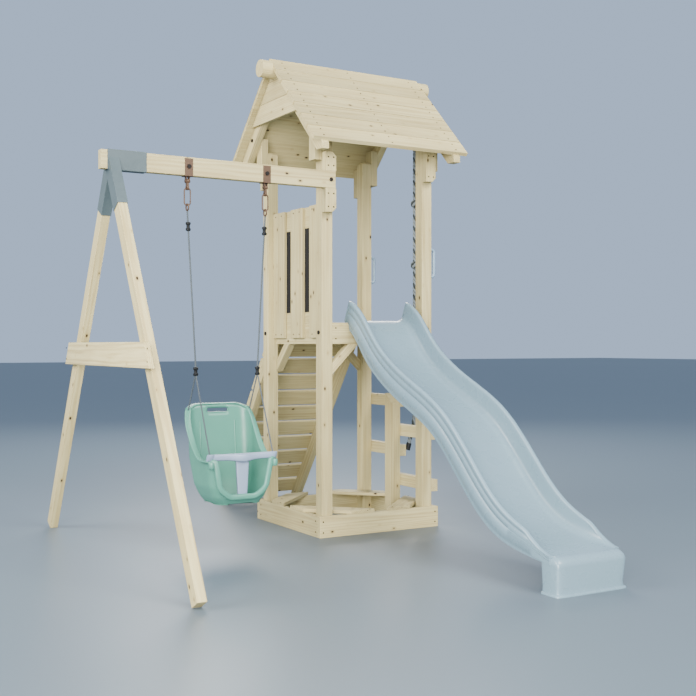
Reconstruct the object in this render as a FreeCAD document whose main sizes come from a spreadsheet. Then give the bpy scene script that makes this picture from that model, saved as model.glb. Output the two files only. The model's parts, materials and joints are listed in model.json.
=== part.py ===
"""Play tower with a toddler swing, a slide, a ramp and a climbing rope.

Millimetres, +Z up.  +X runs along the roof ridge, away from the swing, and the
slide comes down towards -Y.  The origin is on the ground at the middle of the
whole set's outline.  The formulas measure from the middle of the tower's base,
which stands at (tower_x, tower_y), and place() adds that offset.
"""
import FreeCAD, Part
import math
import os
import re

import Sketcher

doc = FreeCAD.newDocument("PlayTower")
Vector = FreeCAD.Vector
Rotation = FreeCAD.Rotation

# ---------------------------------------------------------------- driving sizes
SIZES = {
    # tower
    "base_side": 800, "base_depth": 120, "board_thick": 28,
    "post_size": 68, "post_height": 2257, "post_chamfer": 14,
    "timber_thick": 45, "timber_depth": 70, "fit_gap": 0.5,
    "platform_height": 1200, "fascia_depth": 120, "floor_gap": 4,
    "corner_seat_width": 112, "corner_seat_thick": 20, "corner_seat_play": 6,
    "brace_reach": 170,
    # slatted wall on the swing side
    "slat_thick": 20, "slat_width": 145, "wall_drop": 85, "wall_height": 761,
    "low_rail_depth": 66, "top_rail_depth": 122, "backing_thick": 3,
    # roof
    "ridge_rise": 479, "eave_run": 540, "roof_lap": 32, "roof_board_thick": 18,
    "tail_drop": 597, "rafter_inset": 5, "log_radius": 50, "log_drop": 62, "log_lap": 65,
    "gable_board_depth": 112, "gable_drop": 343, "gable_thick": 18, "spacer_drop": 150,
    # blocks screwed to the posts
    "block_chamfer": 24, "low_block_depth": 134, "high_block_depth": 107, "free_block_depth": 182,
    "free_block_drop": 42,
    # ramp, rungs and handles
    "ramp_run": 860, "ramp_board_width": 112, "ramp_board_thick": 20, "ramp_board_start": 38,
    "ramp_board_head": 6,
    "rung_low": 239, "rung_step": 307, "rung_shift": 180,
    "mid_post_height": 774, "mid_post_slope": 60,
    "handle_rise": 362, "handle_length": 180, "handle_reach": 50, "handle_radius": 9,
    "handle_pad_width": 34, "handle_pad_thick": 6,
    # slide
    "slide_width": 410, "slide_run": 1755, "slide_wall": 26, "slide_rim": 112, "slide_shell": 42,
    "slide_foot_length": 100, "slide_foot_height": 160,
    # swing frame
    "beam_depth": 95, "beam_reach": 1642, "beam_drop": 310, "beam_overlap": 64,
    "leg_line": 1600, "leg_spread": 1092, "leg_meet_drop": 42,
    "cross_board_depth": 118, "cross_board_bottom": 970, "cross_board_half": 600,
    "steel_thick": 3, "sleeve_gap": 0.5, "sleeve_length": 203, "sleeve_inset": 32,
    "leg_sleeve_length": 290, "leg_sleeve_drop": 70,
    # hangers and swing
    "swing_centre": 957, "hanger_spacing": 446, "hanger_width": 45, "hanger_thick": 3, "hanger_top_drop": 6,
    "ear_trim": 4, "pin_head_length": 4, "pin_head_rim": 3, "link_play": 1.4, "gate_lift": 2,
    "pivot_drop": 26, "pivot_radius": 5, "pivot_play": 0.3, "eye_radius": 13, "eye_thick": 12,
    "eye_drop": 34, "link_wire": 3.5, "carabiner_length": 96, "carabiner_width": 40,
    "gate_radius": 3, "gate_knuckle": 3.4, "ring_radius": 17, "ring_wire": 4,
    "rope_radius": 5, "strand_spread": 177, "split_height": 913,
    "adjuster_width": 28, "adjuster_thick": 16, "adjuster_length": 47, "adjuster_drop": 283,
    # seat
    "seat_bottom": 264, "seat_top": 766, "seat_half_width": 188, "lug_radius": 16, "lug_depth": 36,
    "seat_front": 212, "seat_back": 138, "seat_wall": 7, "seat_side_top": 484,
    "leg_opening_half": 150, "seat_lip": 34, "leg_opening_corner": 70,
    "back_slot_width": 130, "back_slot_depth": 22, "back_slot_drop": 48,
    "back_tie_height": 732, "back_tie_run": 100, "bar_height": 504, "front_tie_run": 206,
    "bar_depth": 36, "bar_half": 196, "bar_post_width": 78, "bar_post_thick": 22, "bar_play": 1.5,
    "bar_width": 36, "strand_radius": 4, "split_offset": 4, "front_tie_height": 468,
    # climbing rope
    "climb_gap": 25, "climb_radius": 13, "climb_bottom": 448, "knot_radius": 27,
    "knot_drop": 589, "knot_rise": 357, "cap_length": 44, "cap_radius": 16, "cap_bite": 10,
    "tail_rise": 160, "tail_run": 46, "tail_bend": 200,
    "thimble_radius": 16, "climb_drop": 56, "hook_bite": 20,
    # fasteners
    "bolt_head": 11, "bolt_head_depth": 6, "rail_bolt_rise": 30,
}
FLOOR_BOARDS = 5
RAMP_BOARDS = 11
ROOF_COURSES = 7
KNOTS = 4
SIDES = (-1, 1)
SPARE = 20  # how far the solids that only cut reach past what they cut

sheet = doc.addObject("Spreadsheet::Sheet", "Sizes")
for row, (name, number) in enumerate(SIZES.items(), start=1):
    sheet.set(f"A{row}", name)
    sheet.set(f"B{row}", str(number))
    sheet.setAlias(f"B{row}", name)

# ------------------------------------------------------- sizes that follow from them
DERIVED = {
    "ridge_height": "post_height + ridge_rise",
    "beam_bottom": "post_height - beam_drop",
    "wall_bottom": "platform_height - wall_drop",
    "wall_top": "wall_bottom + wall_height",
    "handle_height": "platform_height + handle_rise",
    "tower_y": "(slide_run - ramp_run) / 2",
    "half": "base_side / 2",
    "post_face": "half - board_thick",
    "post_line": "post_face - post_size / 2",
    "post_inner": "post_face - post_size",
    "beam_line": "post_face + timber_thick / 2",
    "beam_top": "beam_bottom + beam_depth",
    "fascia_bottom": "platform_height - fascia_depth",
    "floor_bottom": "platform_height - board_thick",
    "wall_line": "post_line",
    "slat_step": "(2 * post_inner - slat_width) / 2",
    "rafter_face": "post_face + timber_thick",
    "rafter_out": "rafter_face + timber_thick",
    "rafter_tail": "ridge_height - tail_drop",
    "gable_bottom": "ridge_height - gable_drop",
    "roof_overhang": "rafter_out + gable_thick + roof_lap",
    "log_reach": "roof_overhang + log_lap",
    "climb_line": "rafter_out + gable_thick + climb_gap",
    "tower_x": "(beam_reach - log_reach) / 2",
    "roof_rise": "roof_board_thick * sqrt(2)",
    "roof_under": "ridge_height - roof_rise",
    "block_top": "min(post_height - free_block_drop;"
                 " roof_under - post_face - timber_thick - rafter_inset)",
    "rafter_rise": "timber_depth * sqrt(2)",
    "log_height": "ridge_height - log_drop",
    "lean": "atan(leg_spread / (beam_bottom - leg_meet_drop)) / 1 deg",
    "leg_length": "(beam_bottom + beam_depth) / cos(lean)",
    "pivot_height": "beam_bottom - pivot_drop",
    "carabiner_top": "pivot_height - eye_drop + link_play",
    "carabiner_bottom": "carabiner_top - carabiner_length",
    "ring_height": "carabiner_bottom + 2 * link_wire + ring_wire - ring_radius + pivot_play",
    "gate_low": "carabiner_bottom + carabiner_width / 2 + gate_lift",
    "gate_high": "gate_low + carabiner_width",
    "gate_pivot": "gate_low + gate_knuckle + fit_gap",
    "rope_top": "ring_height - ring_radius - ring_wire",
    "split_top": "split_height + adjuster_length",
    "high_adjuster": "beam_bottom - adjuster_drop",
    "bar_line": "-beam_line - front_tie_run + (bar_height - front_tie_height)"
                " * (front_tie_run - split_offset) / (split_height - front_tie_height)",
    "ramp_slope": "atan(platform_height / ramp_run) / 1 deg",
    "ramp_line": "post_inner - timber_thick",
    "ramp_board_pitch": "(platform_height / sin(ramp_slope) - ramp_board_start - ramp_board_width"
                        f" - ramp_board_head) / {RAMP_BOARDS - 1}",
    "climb_hang": "log_height - log_radius - climb_drop",
    "climb_top": "climb_hang - 2 * thimble_radius + 4 * ring_wire + pivot_play",
    "knot_top": "climb_top - knot_drop",
    "knot_pitch": f"(knot_top - climb_bottom - knot_rise) / {KNOTS - 1}",
}
derived = doc.addObject("App::VarSet", "Derived")


def formula(text):
    """Name the sheet or the set in front of each size in a formula."""
    def full_name(match):
        word = match.group(0)
        if word in SIZES:
            return "Sizes." + word
        if word in DERIVED:
            return "Derived." + word
        return word
    return re.sub(r"[a-z_]+", full_name, text)


for name, text in DERIVED.items():
    derived.addProperty("App::PropertyFloat", name)
    derived.setExpression(name, formula(text))
doc.recompute()


def value(text):
    """Work a formula out to a plain number, for the shapes that Part makes."""
    result = sheet.evalExpression(formula(text))
    return float(getattr(result, "Value", result))


# ----------------------------------------------------------------------- helpers
nodes = []


def node(item, name):
    """Give a finished sub-part its label and put it on the list of files."""
    item.Label = name
    nodes.append(item)
    return item


TOWER = {"x": "tower_x + ", "y": "tower_y + ", "z": ""}


def place(item, x, y, z):
    """Put an object at a point measured from the middle of the tower's base."""
    for axis, text in zip("xyz", (x, y, z)):
        item.setExpression(f"Placement.Base.{axis}", formula(f"{TOWER[axis]}({text})"))
    return item


def place_turned(item, x, y, z, turn):
    """The same, for an object that a formula also turns."""
    spot = f"vector(tower_x + ({x}); tower_y + ({y}); {z})"
    item.setExpression("Placement", formula(f"placement({spot}; {turn})"))
    return item


def block(name, x, y, z):
    """A box between two formulas along each axis."""
    item = doc.addObject("Part::Box", name)
    for size, (low, high) in zip(("Length", "Width", "Height"), (x, y, z)):
        item.setExpression(size, formula(f"({high}) - ({low})"))
    return place(item, x[0], y[0], z[0])


def slanted(name, across, low, high, z, turn=0):
    """A timber between two level cuts: `across` along X, `low` and `high` along Y."""
    item = doc.addObject("Part::Wedge", name)
    item.Placement.Rotation = Rotation(Vector(0, 0, 1), turn) * Rotation(Vector(1, 0, 0), 90)
    limits = {
        "Xmin": across[0], "Xmax": across[1], "X2min": across[0], "X2max": across[1],
        "Ymin": z[0], "Ymax": z[1],
        "Zmin": f"-({low[1]})", "Zmax": f"-({low[0]})",
        "Z2min": f"-({high[1]})", "Z2max": f"-({high[0]})",
    }
    for size, text in limits.items():
        item.setExpression(size, formula(text))
    return place(item, "0", "0", "0")


ALONG = {
    "x": Rotation(Vector(0, 1, 0), 90),
    "y": Rotation(Vector(1, 0, 0), -90),
    "z": Rotation(),
}


def rod(name, radius, start, length, axis):
    """A round bar that starts at `start` and runs along one axis."""
    item = doc.addObject("Part::Cylinder", name)
    item.Placement.Rotation = ALONG[axis]
    item.setExpression("Radius", formula(radius))
    item.setExpression("Height", formula(length))
    return place(item, *start)


def strut(name, radius, start, end):
    """A straight round bar or rope between two points that are not one above the other."""
    dx, dy, dz = (f"(({b}) - ({a}))" for a, b in zip(start, end))
    reach = f"sqrt({dx} ^ 2 + {dy} ^ 2 + {dz} ^ 2)"
    item = doc.addObject("Part::Cylinder", name)
    item.setExpression("Radius", formula(radius))
    item.setExpression("Height", formula(reach))
    return place_turned(item, *start, f"rotation(vector(-{dy}; {dx}; 0); acos({dz} / {reach}))")


def ring(name, radius, wire, centre, axis="z"):
    """A closed round ring of wire."""
    item = doc.addObject("Part::Torus", name)
    item.Placement.Rotation = ALONG[axis]
    item.setExpression("Radius1", formula(radius))
    item.setExpression("Radius2", formula(wire))
    return place(item, *centre)


def cut(name, base, *tools):
    """One solid with the others taken away from it."""
    item = doc.addObject("Part::Cut", name)
    item.Base = base
    item.Tool = tools[0] if len(tools) == 1 else joined(name + "_tool", *tools)
    return item


def common(name, base, room):
    """The part of a solid that lies inside another."""
    item = doc.addObject("Part::Common", name)
    item.Base = base
    item.Tool = room
    return item


def joined(name, *pieces):
    """Several solids made into one."""
    item = doc.addObject("Part::MultiFuse", name)
    item.Shapes = list(pieces)
    return item


def group(name, *pieces):
    """Separate solids of the same kind that share a node."""
    item = doc.addObject("Part::Compound", name)
    item.Links = list(pieces)
    return node(item, name)


def mirrored(name, source, base, normal):
    """The same piece on the other side of a plane; base is a formula along the normal."""
    item = doc.addObject("Part::Mirroring", name)
    item.Source = source
    item.Normal = normal
    letter = "xyz"[[abs(n) for n in normal].index(1)]
    item.setExpression(f"Base.{letter}", formula(f"{TOWER[letter]}({base})"))
    return item


def made(name, shape):
    """A sub-part whose shape Part's own functions make."""
    item = doc.addObject("Part::Feature", name)
    item.Shape = shape
    item.Placement = FreeCAD.Placement(Vector(value("tower_x"), value("tower_y"), 0), Rotation())
    return item


def side(sign, text):
    """A formula on the chosen side of the middle."""
    return f"{sign} * ({text})"


def between(sign, near, far):
    """The two ends of a range on the chosen side of the middle, low end first."""
    ends = (side(sign, near), side(sign, far))
    return ends if sign > 0 else ends[::-1]


# ------------------------------------------------------------------- tower frame
def plane_of(body, role):
    """One of the body's own origin planes."""
    return next(item for item in body.Origin.OriginFeatures if item.Role == role)


def square_post(name, x_sign, y_sign):
    """A corner post, sawn square and chamfered round its top."""
    body = doc.addObject("PartDesign::Body", name)
    sketch = body.newObject("Sketcher::SketchObject", name + "_section")
    sketch.AttachmentSupport = [(plane_of(body, "XY_Plane"), "")]
    sketch.MapMode = "FlatFace"
    reach = value("post_size") / 2
    corners = [Vector(-reach, -reach), Vector(reach, -reach), Vector(reach, reach), Vector(-reach, reach)]
    for index, corner in enumerate(corners):
        sketch.addGeometry(Part.LineSegment(corner, corners[(index + 1) % 4]))
    for index in range(4):
        sketch.addConstraint(Sketcher.Constraint("Coincident", index, 2, (index + 1) % 4, 1))
        sketch.addConstraint(Sketcher.Constraint("Vertical" if index % 2 else "Horizontal", index))
    sketch.addConstraint(Sketcher.Constraint("Symmetric", 0, 1, 1, 2, -1, 1))
    width = sketch.addConstraint(Sketcher.Constraint("DistanceX", 0, 1, 0, 2, 2 * reach))
    depth = sketch.addConstraint(Sketcher.Constraint("DistanceY", 1, 1, 1, 2, 2 * reach))
    for index in (width, depth):
        sketch.setExpression(f"Constraints[{index}]", formula("post_size"))
    pad = body.newObject("PartDesign::Pad", name + "_length")
    pad.Profile = sketch
    pad.setExpression("Length", formula("post_height"))
    place(body, side(x_sign, "post_line"), side(y_sign, "post_line"), "0")
    doc.recompute()
    top = max(range(len(pad.Shape.Faces)), key=lambda i: pad.Shape.Faces[i].CenterOfMass.z)
    chamfer = body.newObject("PartDesign::Chamfer", name + "_top")
    chamfer.Base = (pad, [f"Face{top + 1}"])
    chamfer.setExpression("Size", formula("post_chamfer"))
    body.Tip = chamfer
    return node(body, name)


def posts():
    for x_sign, x_word in zip(SIDES, ("left", "right")):
        for y_sign, y_word in zip(SIDES, ("front", "back")):
            square_post(f"post_{y_word}_{x_word}", x_sign, y_sign)
    reach = ("-post_size / 2", "post_size / 2")
    across = ("post_inner", "post_face")
    shoulder = "mid_post_height - mid_post_slope"
    foot = block("post_middle_foot", across, reach, ("0", shoulder))
    tip = slanted("post_middle_tip", across, reach, ("post_size / 2 - 1", "post_size / 2"),
                  (shoulder, "mid_post_height"))
    node(joined("post_middle", foot, tip), "post_middle")


def sandbox():
    """Four boards round the posts and a small seat board across each corner."""
    for sign, word in zip(SIDES, ("front", "back")):
        node(block(f"base_board_{word}", ("-half", "half"), between(sign, "post_face", "half"),
                   ("0", "base_depth")), f"base_board_{word}")
    for sign, word in zip(SIDES, ("left", "right")):
        node(block(f"base_board_{word}", between(sign, "post_face", "half"),
                   ("-post_face", "post_face"), ("0", "base_depth")), f"base_board_{word}")
    near = "((half - post_inner) * sqrt(2) + corner_seat_play)"
    far = f"({near} + corner_seat_width)"
    limits = {
        "Xmin": f"-{near}", "Xmax": near, "X2min": f"-{far}", "X2max": far,
        "Ymin": near, "Ymax": far,
        "Zmin": "0", "Zmax": "corner_seat_thick", "Z2min": "0", "Z2max": "corner_seat_thick",
    }
    seats = []
    for index, (x_sign, y_sign) in enumerate(((-1, -1), (1, -1), (1, 1), (-1, 1))):
        seat = doc.addObject("Part::Wedge", f"corner_seat_{index + 1}")
        seat.Placement.Rotation = Rotation(Vector(0, 0, 1), 90 * index - 45)
        for size, text in limits.items():
            seat.setExpression(size, formula(text))
        place(seat, side(x_sign, "half"), side(y_sign, "half"), "base_depth")
        seats.append(seat)
    group("corner_seats", *seats)


def platform():
    """Fascia boards between the posts, joists inside them and the floor on top."""
    span = ("-post_inner", "post_inner")
    depth = ("fascia_bottom", "platform_height")
    for sign, word in zip(SIDES, ("front", "back")):
        node(block(f"fascia_{word}", span, between(sign, "post_face - board_thick", "post_face"),
                   depth), f"fascia_{word}")
    node(block("fascia_right", ("post_face - board_thick", "post_face"), span, depth), "fascia_right")
    wall_back = "-(wall_line - slat_thick)"
    node(block("fascia_left", (wall_back, f"{wall_back} + board_thick"), span, depth), "fascia_left")
    joist_top = ("floor_bottom - timber_depth", "floor_bottom")
    joists = []
    for index, low in enumerate((f"{wall_back} + board_thick", "post_inner - timber_thick")):
        joists.append(block(f"joist_{index + 1}", (low, f"{low} + timber_thick"), span, joist_top))
    group("floor_joists", *joists)
    thick = ("floor_bottom", "platform_height")
    across = (f"{wall_back} + board_thick", "post_inner")
    step = f"((2 * post_inner + floor_gap) / {FLOOR_BOARDS})"
    boards = []
    for index in range(FLOOR_BOARDS):
        low = f"-post_inner + {index} * {step}"
        boards.append(block(f"floor_board_{index + 1}", across, (low, f"{low} + {step} - floor_gap"),
                            thick))
    for sign, word in zip(SIDES, ("front", "back")):
        edge = between(sign, "post_inner + floor_gap", "post_face - board_thick")
        boards.append(block(f"floor_edge_{word}", across, edge, thick))
    group("floor_boards", *boards)


def knee_braces():
    """One short brace under each edge of the platform, going round the tower."""
    wide = "timber_thick * sqrt(2)"
    start = "-post_inner"
    turns = {"right": 0, "back": 90, "left": 180, "front": -90}
    braces = []
    for word, turn in turns.items():
        outer = "wall_line - slat_thick" if word == "left" else "post_face"
        across = (f"{outer} - timber_thick", outer)
        bar = slanted(f"brace_{word}_bar", across, (f"{start} - {wide}", start),
                      (f"{start} + brace_reach - {wide}", f"{start} + brace_reach"),
                      ("fascia_bottom - brace_reach", "fascia_bottom"), turn)
        reach = (start, f"{start} + brace_reach")
        room = slanted(f"brace_{word}_room", across, reach, reach,
                       ("fascia_bottom - brace_reach", "fascia_bottom"), turn)
        braces.append(common(f"knee_brace_{word}", bar, room))
    group("knee_braces", *braces)


def slatted_wall():
    """Upright slats between the left posts, with rails and a dark sheet behind the gaps."""
    face = "-wall_line"
    back = "-(wall_line - slat_thick)"
    slats = []
    for index in range(3):
        low = f"-post_inner + {index} * slat_step"
        slats.append(block(f"wall_slat_{index + 1}", (face, back), (low, f"{low} + slat_width"),
                           ("wall_bottom", "wall_top")))
    group("wall_slats", *slats)
    span = ("-post_inner", "post_inner")
    behind = (back, f"{back} + board_thick")
    low_rail = ("platform_height", "platform_height + low_rail_depth")
    top_rail = ("wall_top - top_rail_depth", "wall_top")
    group("wall_rails", block("wall_rail_low", behind, span, low_rail),
          block("wall_rail_top", behind, span, top_rail))
    node(block("wall_backing", (back, f"{back} + backing_thick"), span, (low_rail[1], top_rail[0])),
         "wall_backing")


# ------------------------------------------------------------------------- roof
def roof_course(name, index, start, thick):
    """A board of the front slope, its outer face on the slope and its thickness inwards."""
    width = f"((eave_run * sqrt(2) - {start}) / {ROOF_COURSES})"
    down = f"(({start} + {index} * {width}) / sqrt(2))"
    board = doc.addObject("Part::Box", name)
    board.Placement.Rotation = Rotation(Vector(1, 0, 0), -135)
    for size, text in zip(("Length", "Width", "Height"), ("2 * roof_overhang", width, thick)):
        board.setExpression(size, formula(text))
    return place(board, "-roof_overhang", f"-{down}", f"ridge_height - {down}")


def roof():
    """Two slopes of boards on a round ridge log and four rafters, with boarded gables."""
    front = [roof_course(f"roof_front_{i + 1}", i, "0", "roof_board_thick")
             for i in range(ROOF_COURSES)]
    group("roof_front", *front)
    back = []
    for index in range(ROOF_COURSES):
        board = roof_course(f"roof_back_{index + 1}_turned", index, "roof_board_thick",
                            "roof_board_thick")
        back.append(mirrored(f"roof_back_{index + 1}", board, "0", Vector(0, 1, 0)))
    group("roof_back", *back)

    log = rod("log_round", "log_radius", ("-log_reach", "0", "log_height"), "2 * log_reach", "x")
    above = block("log_flat_front", ("-roof_overhang", "roof_overhang"),
                  ("-log_radius * sqrt(2)", "log_radius * (4 - sqrt(2))"),
                  ("roof_under - log_radius * sqrt(2)", "roof_under + log_radius"))
    above.Placement.Rotation = Rotation(Vector(1, 0, 0), 45)
    other = mirrored("log_flat_back", above, "0", Vector(0, 1, 0))
    node(cut("ridge_log", log, above, other), "ridge_log")

    hollow = rod("log_seat", "log_radius + fit_gap", ("-log_reach", "0", "log_height"),
                 "2 * log_reach", "x")
    rafters = []
    for x_sign, x_word in zip(SIDES, ("left", "right")):
        across = between(x_sign, "rafter_face", "rafter_out")
        for y_sign, y_word in zip(SIDES, ("front", "back")):
            low = between(y_sign, "roof_under - rafter_rise - rafter_tail", "roof_under - rafter_tail")
            high = between(y_sign, "-rafter_rise", "0")
            name = f"rafter_{y_word}_{x_word}"
            bar = slanted(name + "_bar", across, low, high, ("rafter_tail", "roof_under"))
            room = block(name + "_room", across, between(y_sign, "fit_gap", "eave_run - rafter_inset"),
                         ("rafter_tail", "roof_under"))
            rafters.append(cut(name, common(name + "_trimmed", bar, room), hollow))
    group("rafters", *rafters)

    gables = []
    for sign, word in zip(SIDES, ("left", "right")):
        across = between(sign, "rafter_out", "rafter_out + gable_thick")
        for index in range(2):
            low = f"gable_bottom + {index} * gable_board_depth"
            high = f"gable_bottom + {index + 1} * gable_board_depth"
            ends = [(f"-(roof_under - ({level}))", f"roof_under - ({level})") for level in (low, high)]
            gables.append(slanted(f"gable_{word}_{index + 1}", across, *ends, (low, high)))
        low = "gable_bottom + 2 * gable_board_depth"
        ends = [(f"-(roof_under - ({level}))", f"roof_under - ({level})")
                for level in (low, "log_height")]
        top = slanted(f"gable_{word}_top", across, *ends, (low, "log_height"))
        gables.append(cut(f"gable_{word}_3", top, hollow))
    group("gable_boards", *gables)


def head_block(name, x_sign, y_sign, low, high, chamfer_low=True):
    """A block on the outer face of a post, one lower corner cut off at a slant."""
    across = between(y_sign, "post_face", "post_face + timber_thick")
    ends = between(x_sign, "post_inner", "post_face")
    cut_end = "block_chamfer"
    turned = tuple(f"-({text})" for text in reversed(across))
    narrow = (ends[0], f"{ends[1]} - {cut_end}")
    if chamfer_low:
        slope = slanted(name + "_slope", turned, narrow, ends, (low, f"{low} + {cut_end}"), -90)
        rest = block(name + "_rest", ends, across, (f"{low} + {cut_end}", high))
    else:
        slope = slanted(name + "_slope", turned, ends, narrow, (f"{high} - {cut_end}", high), -90)
        rest = block(name + "_rest", ends, across, (low, f"{high} - {cut_end}"))
    return joined(name, rest, slope)


def head_blocks():
    """The blocks on the front and back of the posts, and the spacers behind the rafters."""
    free = ("block_top - free_block_depth", "block_top")
    pieces = [
        head_block("block_under_beam", -1, -1, "beam_bottom - low_block_depth", "beam_bottom"),
        head_block("block_over_beam", -1, -1, "beam_top", "beam_top + high_block_depth", False),
        head_block("block_front_right", 1, -1, *free),
        head_block("block_back_left", -1, 1, *free),
        head_block("block_back_right", 1, 1, *free),
    ]
    for x_sign, x_word in zip(SIDES, ("left", "right")):
        for y_sign, y_word in zip(SIDES, ("front", "back")):
            pieces.append(block(f"spacer_{y_word}_{x_word}",
                                between(x_sign, "post_face", "rafter_face"),
                                between(y_sign, "post_inner", "post_face"),
                                ("post_height - spacer_drop", "roof_under - post_face - rafter_inset")))
    group("post_blocks", *pieces)


# --------------------------------------------------------- ramp, rungs and handles
def ramp():
    """Two slanted stringers with boards across their upper side."""
    wide = "timber_depth / sin(ramp_slope)"
    foot = (f"post_face + ramp_run - {wide}", "post_face + ramp_run")
    head = (f"post_face - {wide}", "post_face")
    for sign, word in zip(SIDES, ("left", "right")):
        across = between(sign, "ramp_line", "post_inner")
        name = f"ramp_stringer_{word}"
        bar = slanted(name + "_bar", across, foot, head, ("0", "platform_height"))
        room = block(name + "_room", across, ("post_face", foot[1]), ("0", "platform_height"))
        node(common(name, bar, room), name)
    boards = []
    for index in range(RAMP_BOARDS):
        reach = f"(ramp_board_start + {index} * ramp_board_pitch)"
        board = doc.addObject("Part::Box", f"ramp_board_{index + 1}")
        board.setExpression("Length", formula("2 * post_inner"))
        board.setExpression("Width", formula("ramp_board_width"))
        board.setExpression("Height", formula("ramp_board_thick"))
        y = f"post_face + ramp_run - {reach} * cos(ramp_slope) + ramp_board_thick * sin(ramp_slope)"
        z = f"{reach} * sin(ramp_slope) + ramp_board_thick * cos(ramp_slope)"
        boards.append(place_turned(board, "-post_inner", y, z,
                                   "rotation(vector(1; 0; 0); 180 - ramp_slope)"))
    group("ramp_boards", *boards)


def rungs():
    """Climbing rungs outside the right posts, in two half-width rows."""
    pieces = []
    for index in range(2):
        level = f"rung_low + {index} * rung_step"
        for word, along, height in (
            ("front", ("-post_face", "post_size / 2"), level),
            ("back", ("-post_size / 2", "post_face"), f"{level} + rung_shift"),
        ):
            pieces.append(block(f"rung_{word}_{index + 1}", ("post_face", "post_face + timber_thick"),
                                along, (f"{height} - timber_depth / 2", f"{height} + timber_depth / 2")))
    group("rungs", *pieces)


def rounded_path(corners, bend):
    """A wire of straight runs joined by arcs of one bend radius."""
    edges = []
    start = corners[0]
    for before, corner, after in zip(corners, corners[1:], corners[2:]):
        back = (before - corner).normalize()
        ahead = (after - corner).normalize()
        half_turn = (back.getAngle(ahead)) / 2
        trim = bend / math.tan(half_turn)
        first = corner + back * trim
        last = corner + ahead * trim
        inward = (back + ahead).normalize()
        middle = corner + inward * (bend / math.sin(half_turn) - bend)
        edges.append(Part.LineSegment(start, first).toShape())
        edges.append(Part.Arc(first, middle, last).toShape())
        start = last
    edges.append(Part.LineSegment(start, corners[-1]).toShape())
    return Part.Wire(edges)


def tube(corners, radius, bend):
    """A round bar or cord along a path with rounded corners."""
    path = rounded_path(corners, bend)
    toward = corners[1] - corners[0]
    section = Part.Wire(Part.Circle(corners[0], toward, radius).toShape())
    return path.makePipeShell([section], True, False)


def handles():
    """A D-shaped handle with two feet on the outer face of each right post."""
    radius = value("handle_radius")
    face = value("post_face")
    foot = value("handle_pad_thick")
    reach = face + value("handle_reach") - radius
    half = value("handle_length") / 2 - radius
    middle = value("handle_height")
    pieces = []
    for sign, word in zip(SIDES, ("front", "back")):
        line = sign * value("post_line")
        corners = [Vector(face + foot, line, middle - half), Vector(reach, line, middle - half),
                   Vector(reach, line, middle + half), Vector(face + foot, line, middle + half)]
        grip = made(f"handle_{word}_grip", tube(corners, radius, 2 * radius))
        wide = "handle_pad_width / 2"
        centre = side(sign, "post_line")
        feet = []
        for end in SIDES:
            level = f"handle_height + {end} * (handle_length / 2 - handle_radius)"
            feet.append(block(f"handle_{word}_foot_{1 if end < 0 else 2}",
                              ("post_face", "post_face + handle_pad_thick"),
                              (f"{centre} - {wide}", f"{centre} + {wide}"),
                              (f"{level} - {wide}", f"{level} + {wide}")))
        pieces.append(joined(f"handle_{word}", grip, *feet))
    group("handles", *pieces)


# ------------------------------------------------------------------------ slide
# How far the bed has run out and how high it still is, as parts of the slide's run
# and of the platform's height, and what part of their full height the walls have.
# The bed goes down in one steep and one gentle wave and runs out level.
SLIDE_WAVE = (
    (-0.02, 1.017, 1), (0.035, 0.972, 1), (0.115, 0.852, 1), (0.2, 0.757, 1), (0.295, 0.682, 1),
    (0.475, 0.553, 1), (0.605, 0.38, 1), (0.76, 0.2, 0.9), (0.91, 0.15, 0.5), (0.985, 0.137, 0.12),
)


def slide_curve(lift):
    """The bed's side view, moved square to itself by `lift`."""
    front = -value("post_face")
    run = value("slide_run")
    height = value("platform_height")
    bed = Part.BSplineCurve()
    bed.interpolate([Vector(0, front - run * out, height * level) for out, level, _ in SLIDE_WAVE])
    moved = []
    for knot, (_, _, wall) in zip(bed.getKnots(), SLIDE_WAVE):
        along = bed.tangent(knot)[0]
        share = wall if lift > 0 else 1
        moved.append(bed.value(knot) + Vector(0, along.z, -along.y) * lift * share)
    curve = Part.BSplineCurve()
    curve.interpolate(moved)
    return curve


def slide_profile(low, high, offset, width):
    """The solid between two curves of the slide's side view."""
    edges = [low.toShape(), high.toShape()]
    for near, far in ((low.StartPoint, high.StartPoint), (high.EndPoint, low.EndPoint)):
        edges.append(Part.LineSegment(near, far).toShape())
    face = Part.Face(Part.Wire(Part.__sortEdges__(edges)))
    face.translate(Vector(offset, 0, 0))
    return face.extrude(Vector(width, 0, 0))


def slide():
    """A moulded channel that rests on the platform's edge, with a foot across its lower end."""
    gap = value("fit_gap")
    half = value("slide_width") / 2
    wall = value("slide_wall")
    rim = slide_curve(value("slide_rim"))
    body = slide_profile(slide_curve(-value("slide_shell")), rim, -half, 2 * half)
    channel = slide_profile(slide_curve(0), slide_curve(2 * value("slide_rim")), wall - half,
                            2 * (half - wall))
    end = -value("post_face") - value("slide_run")
    foot = Part.makeBox(2 * half, value("slide_foot_length"), value("slide_foot_height"),
                        Vector(-half, end, 0))
    deck = Part.makeBox(2 * half, 2 * half, 2 * half,
                        Vector(-half, -value("post_face") - gap,
                               value("platform_height") + gap - 2 * half))
    shape = body.cut(channel).fuse(foot.cut(channel)).cut(deck)
    node(made("slide", shape.removeSplitter()), "slide")


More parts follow.
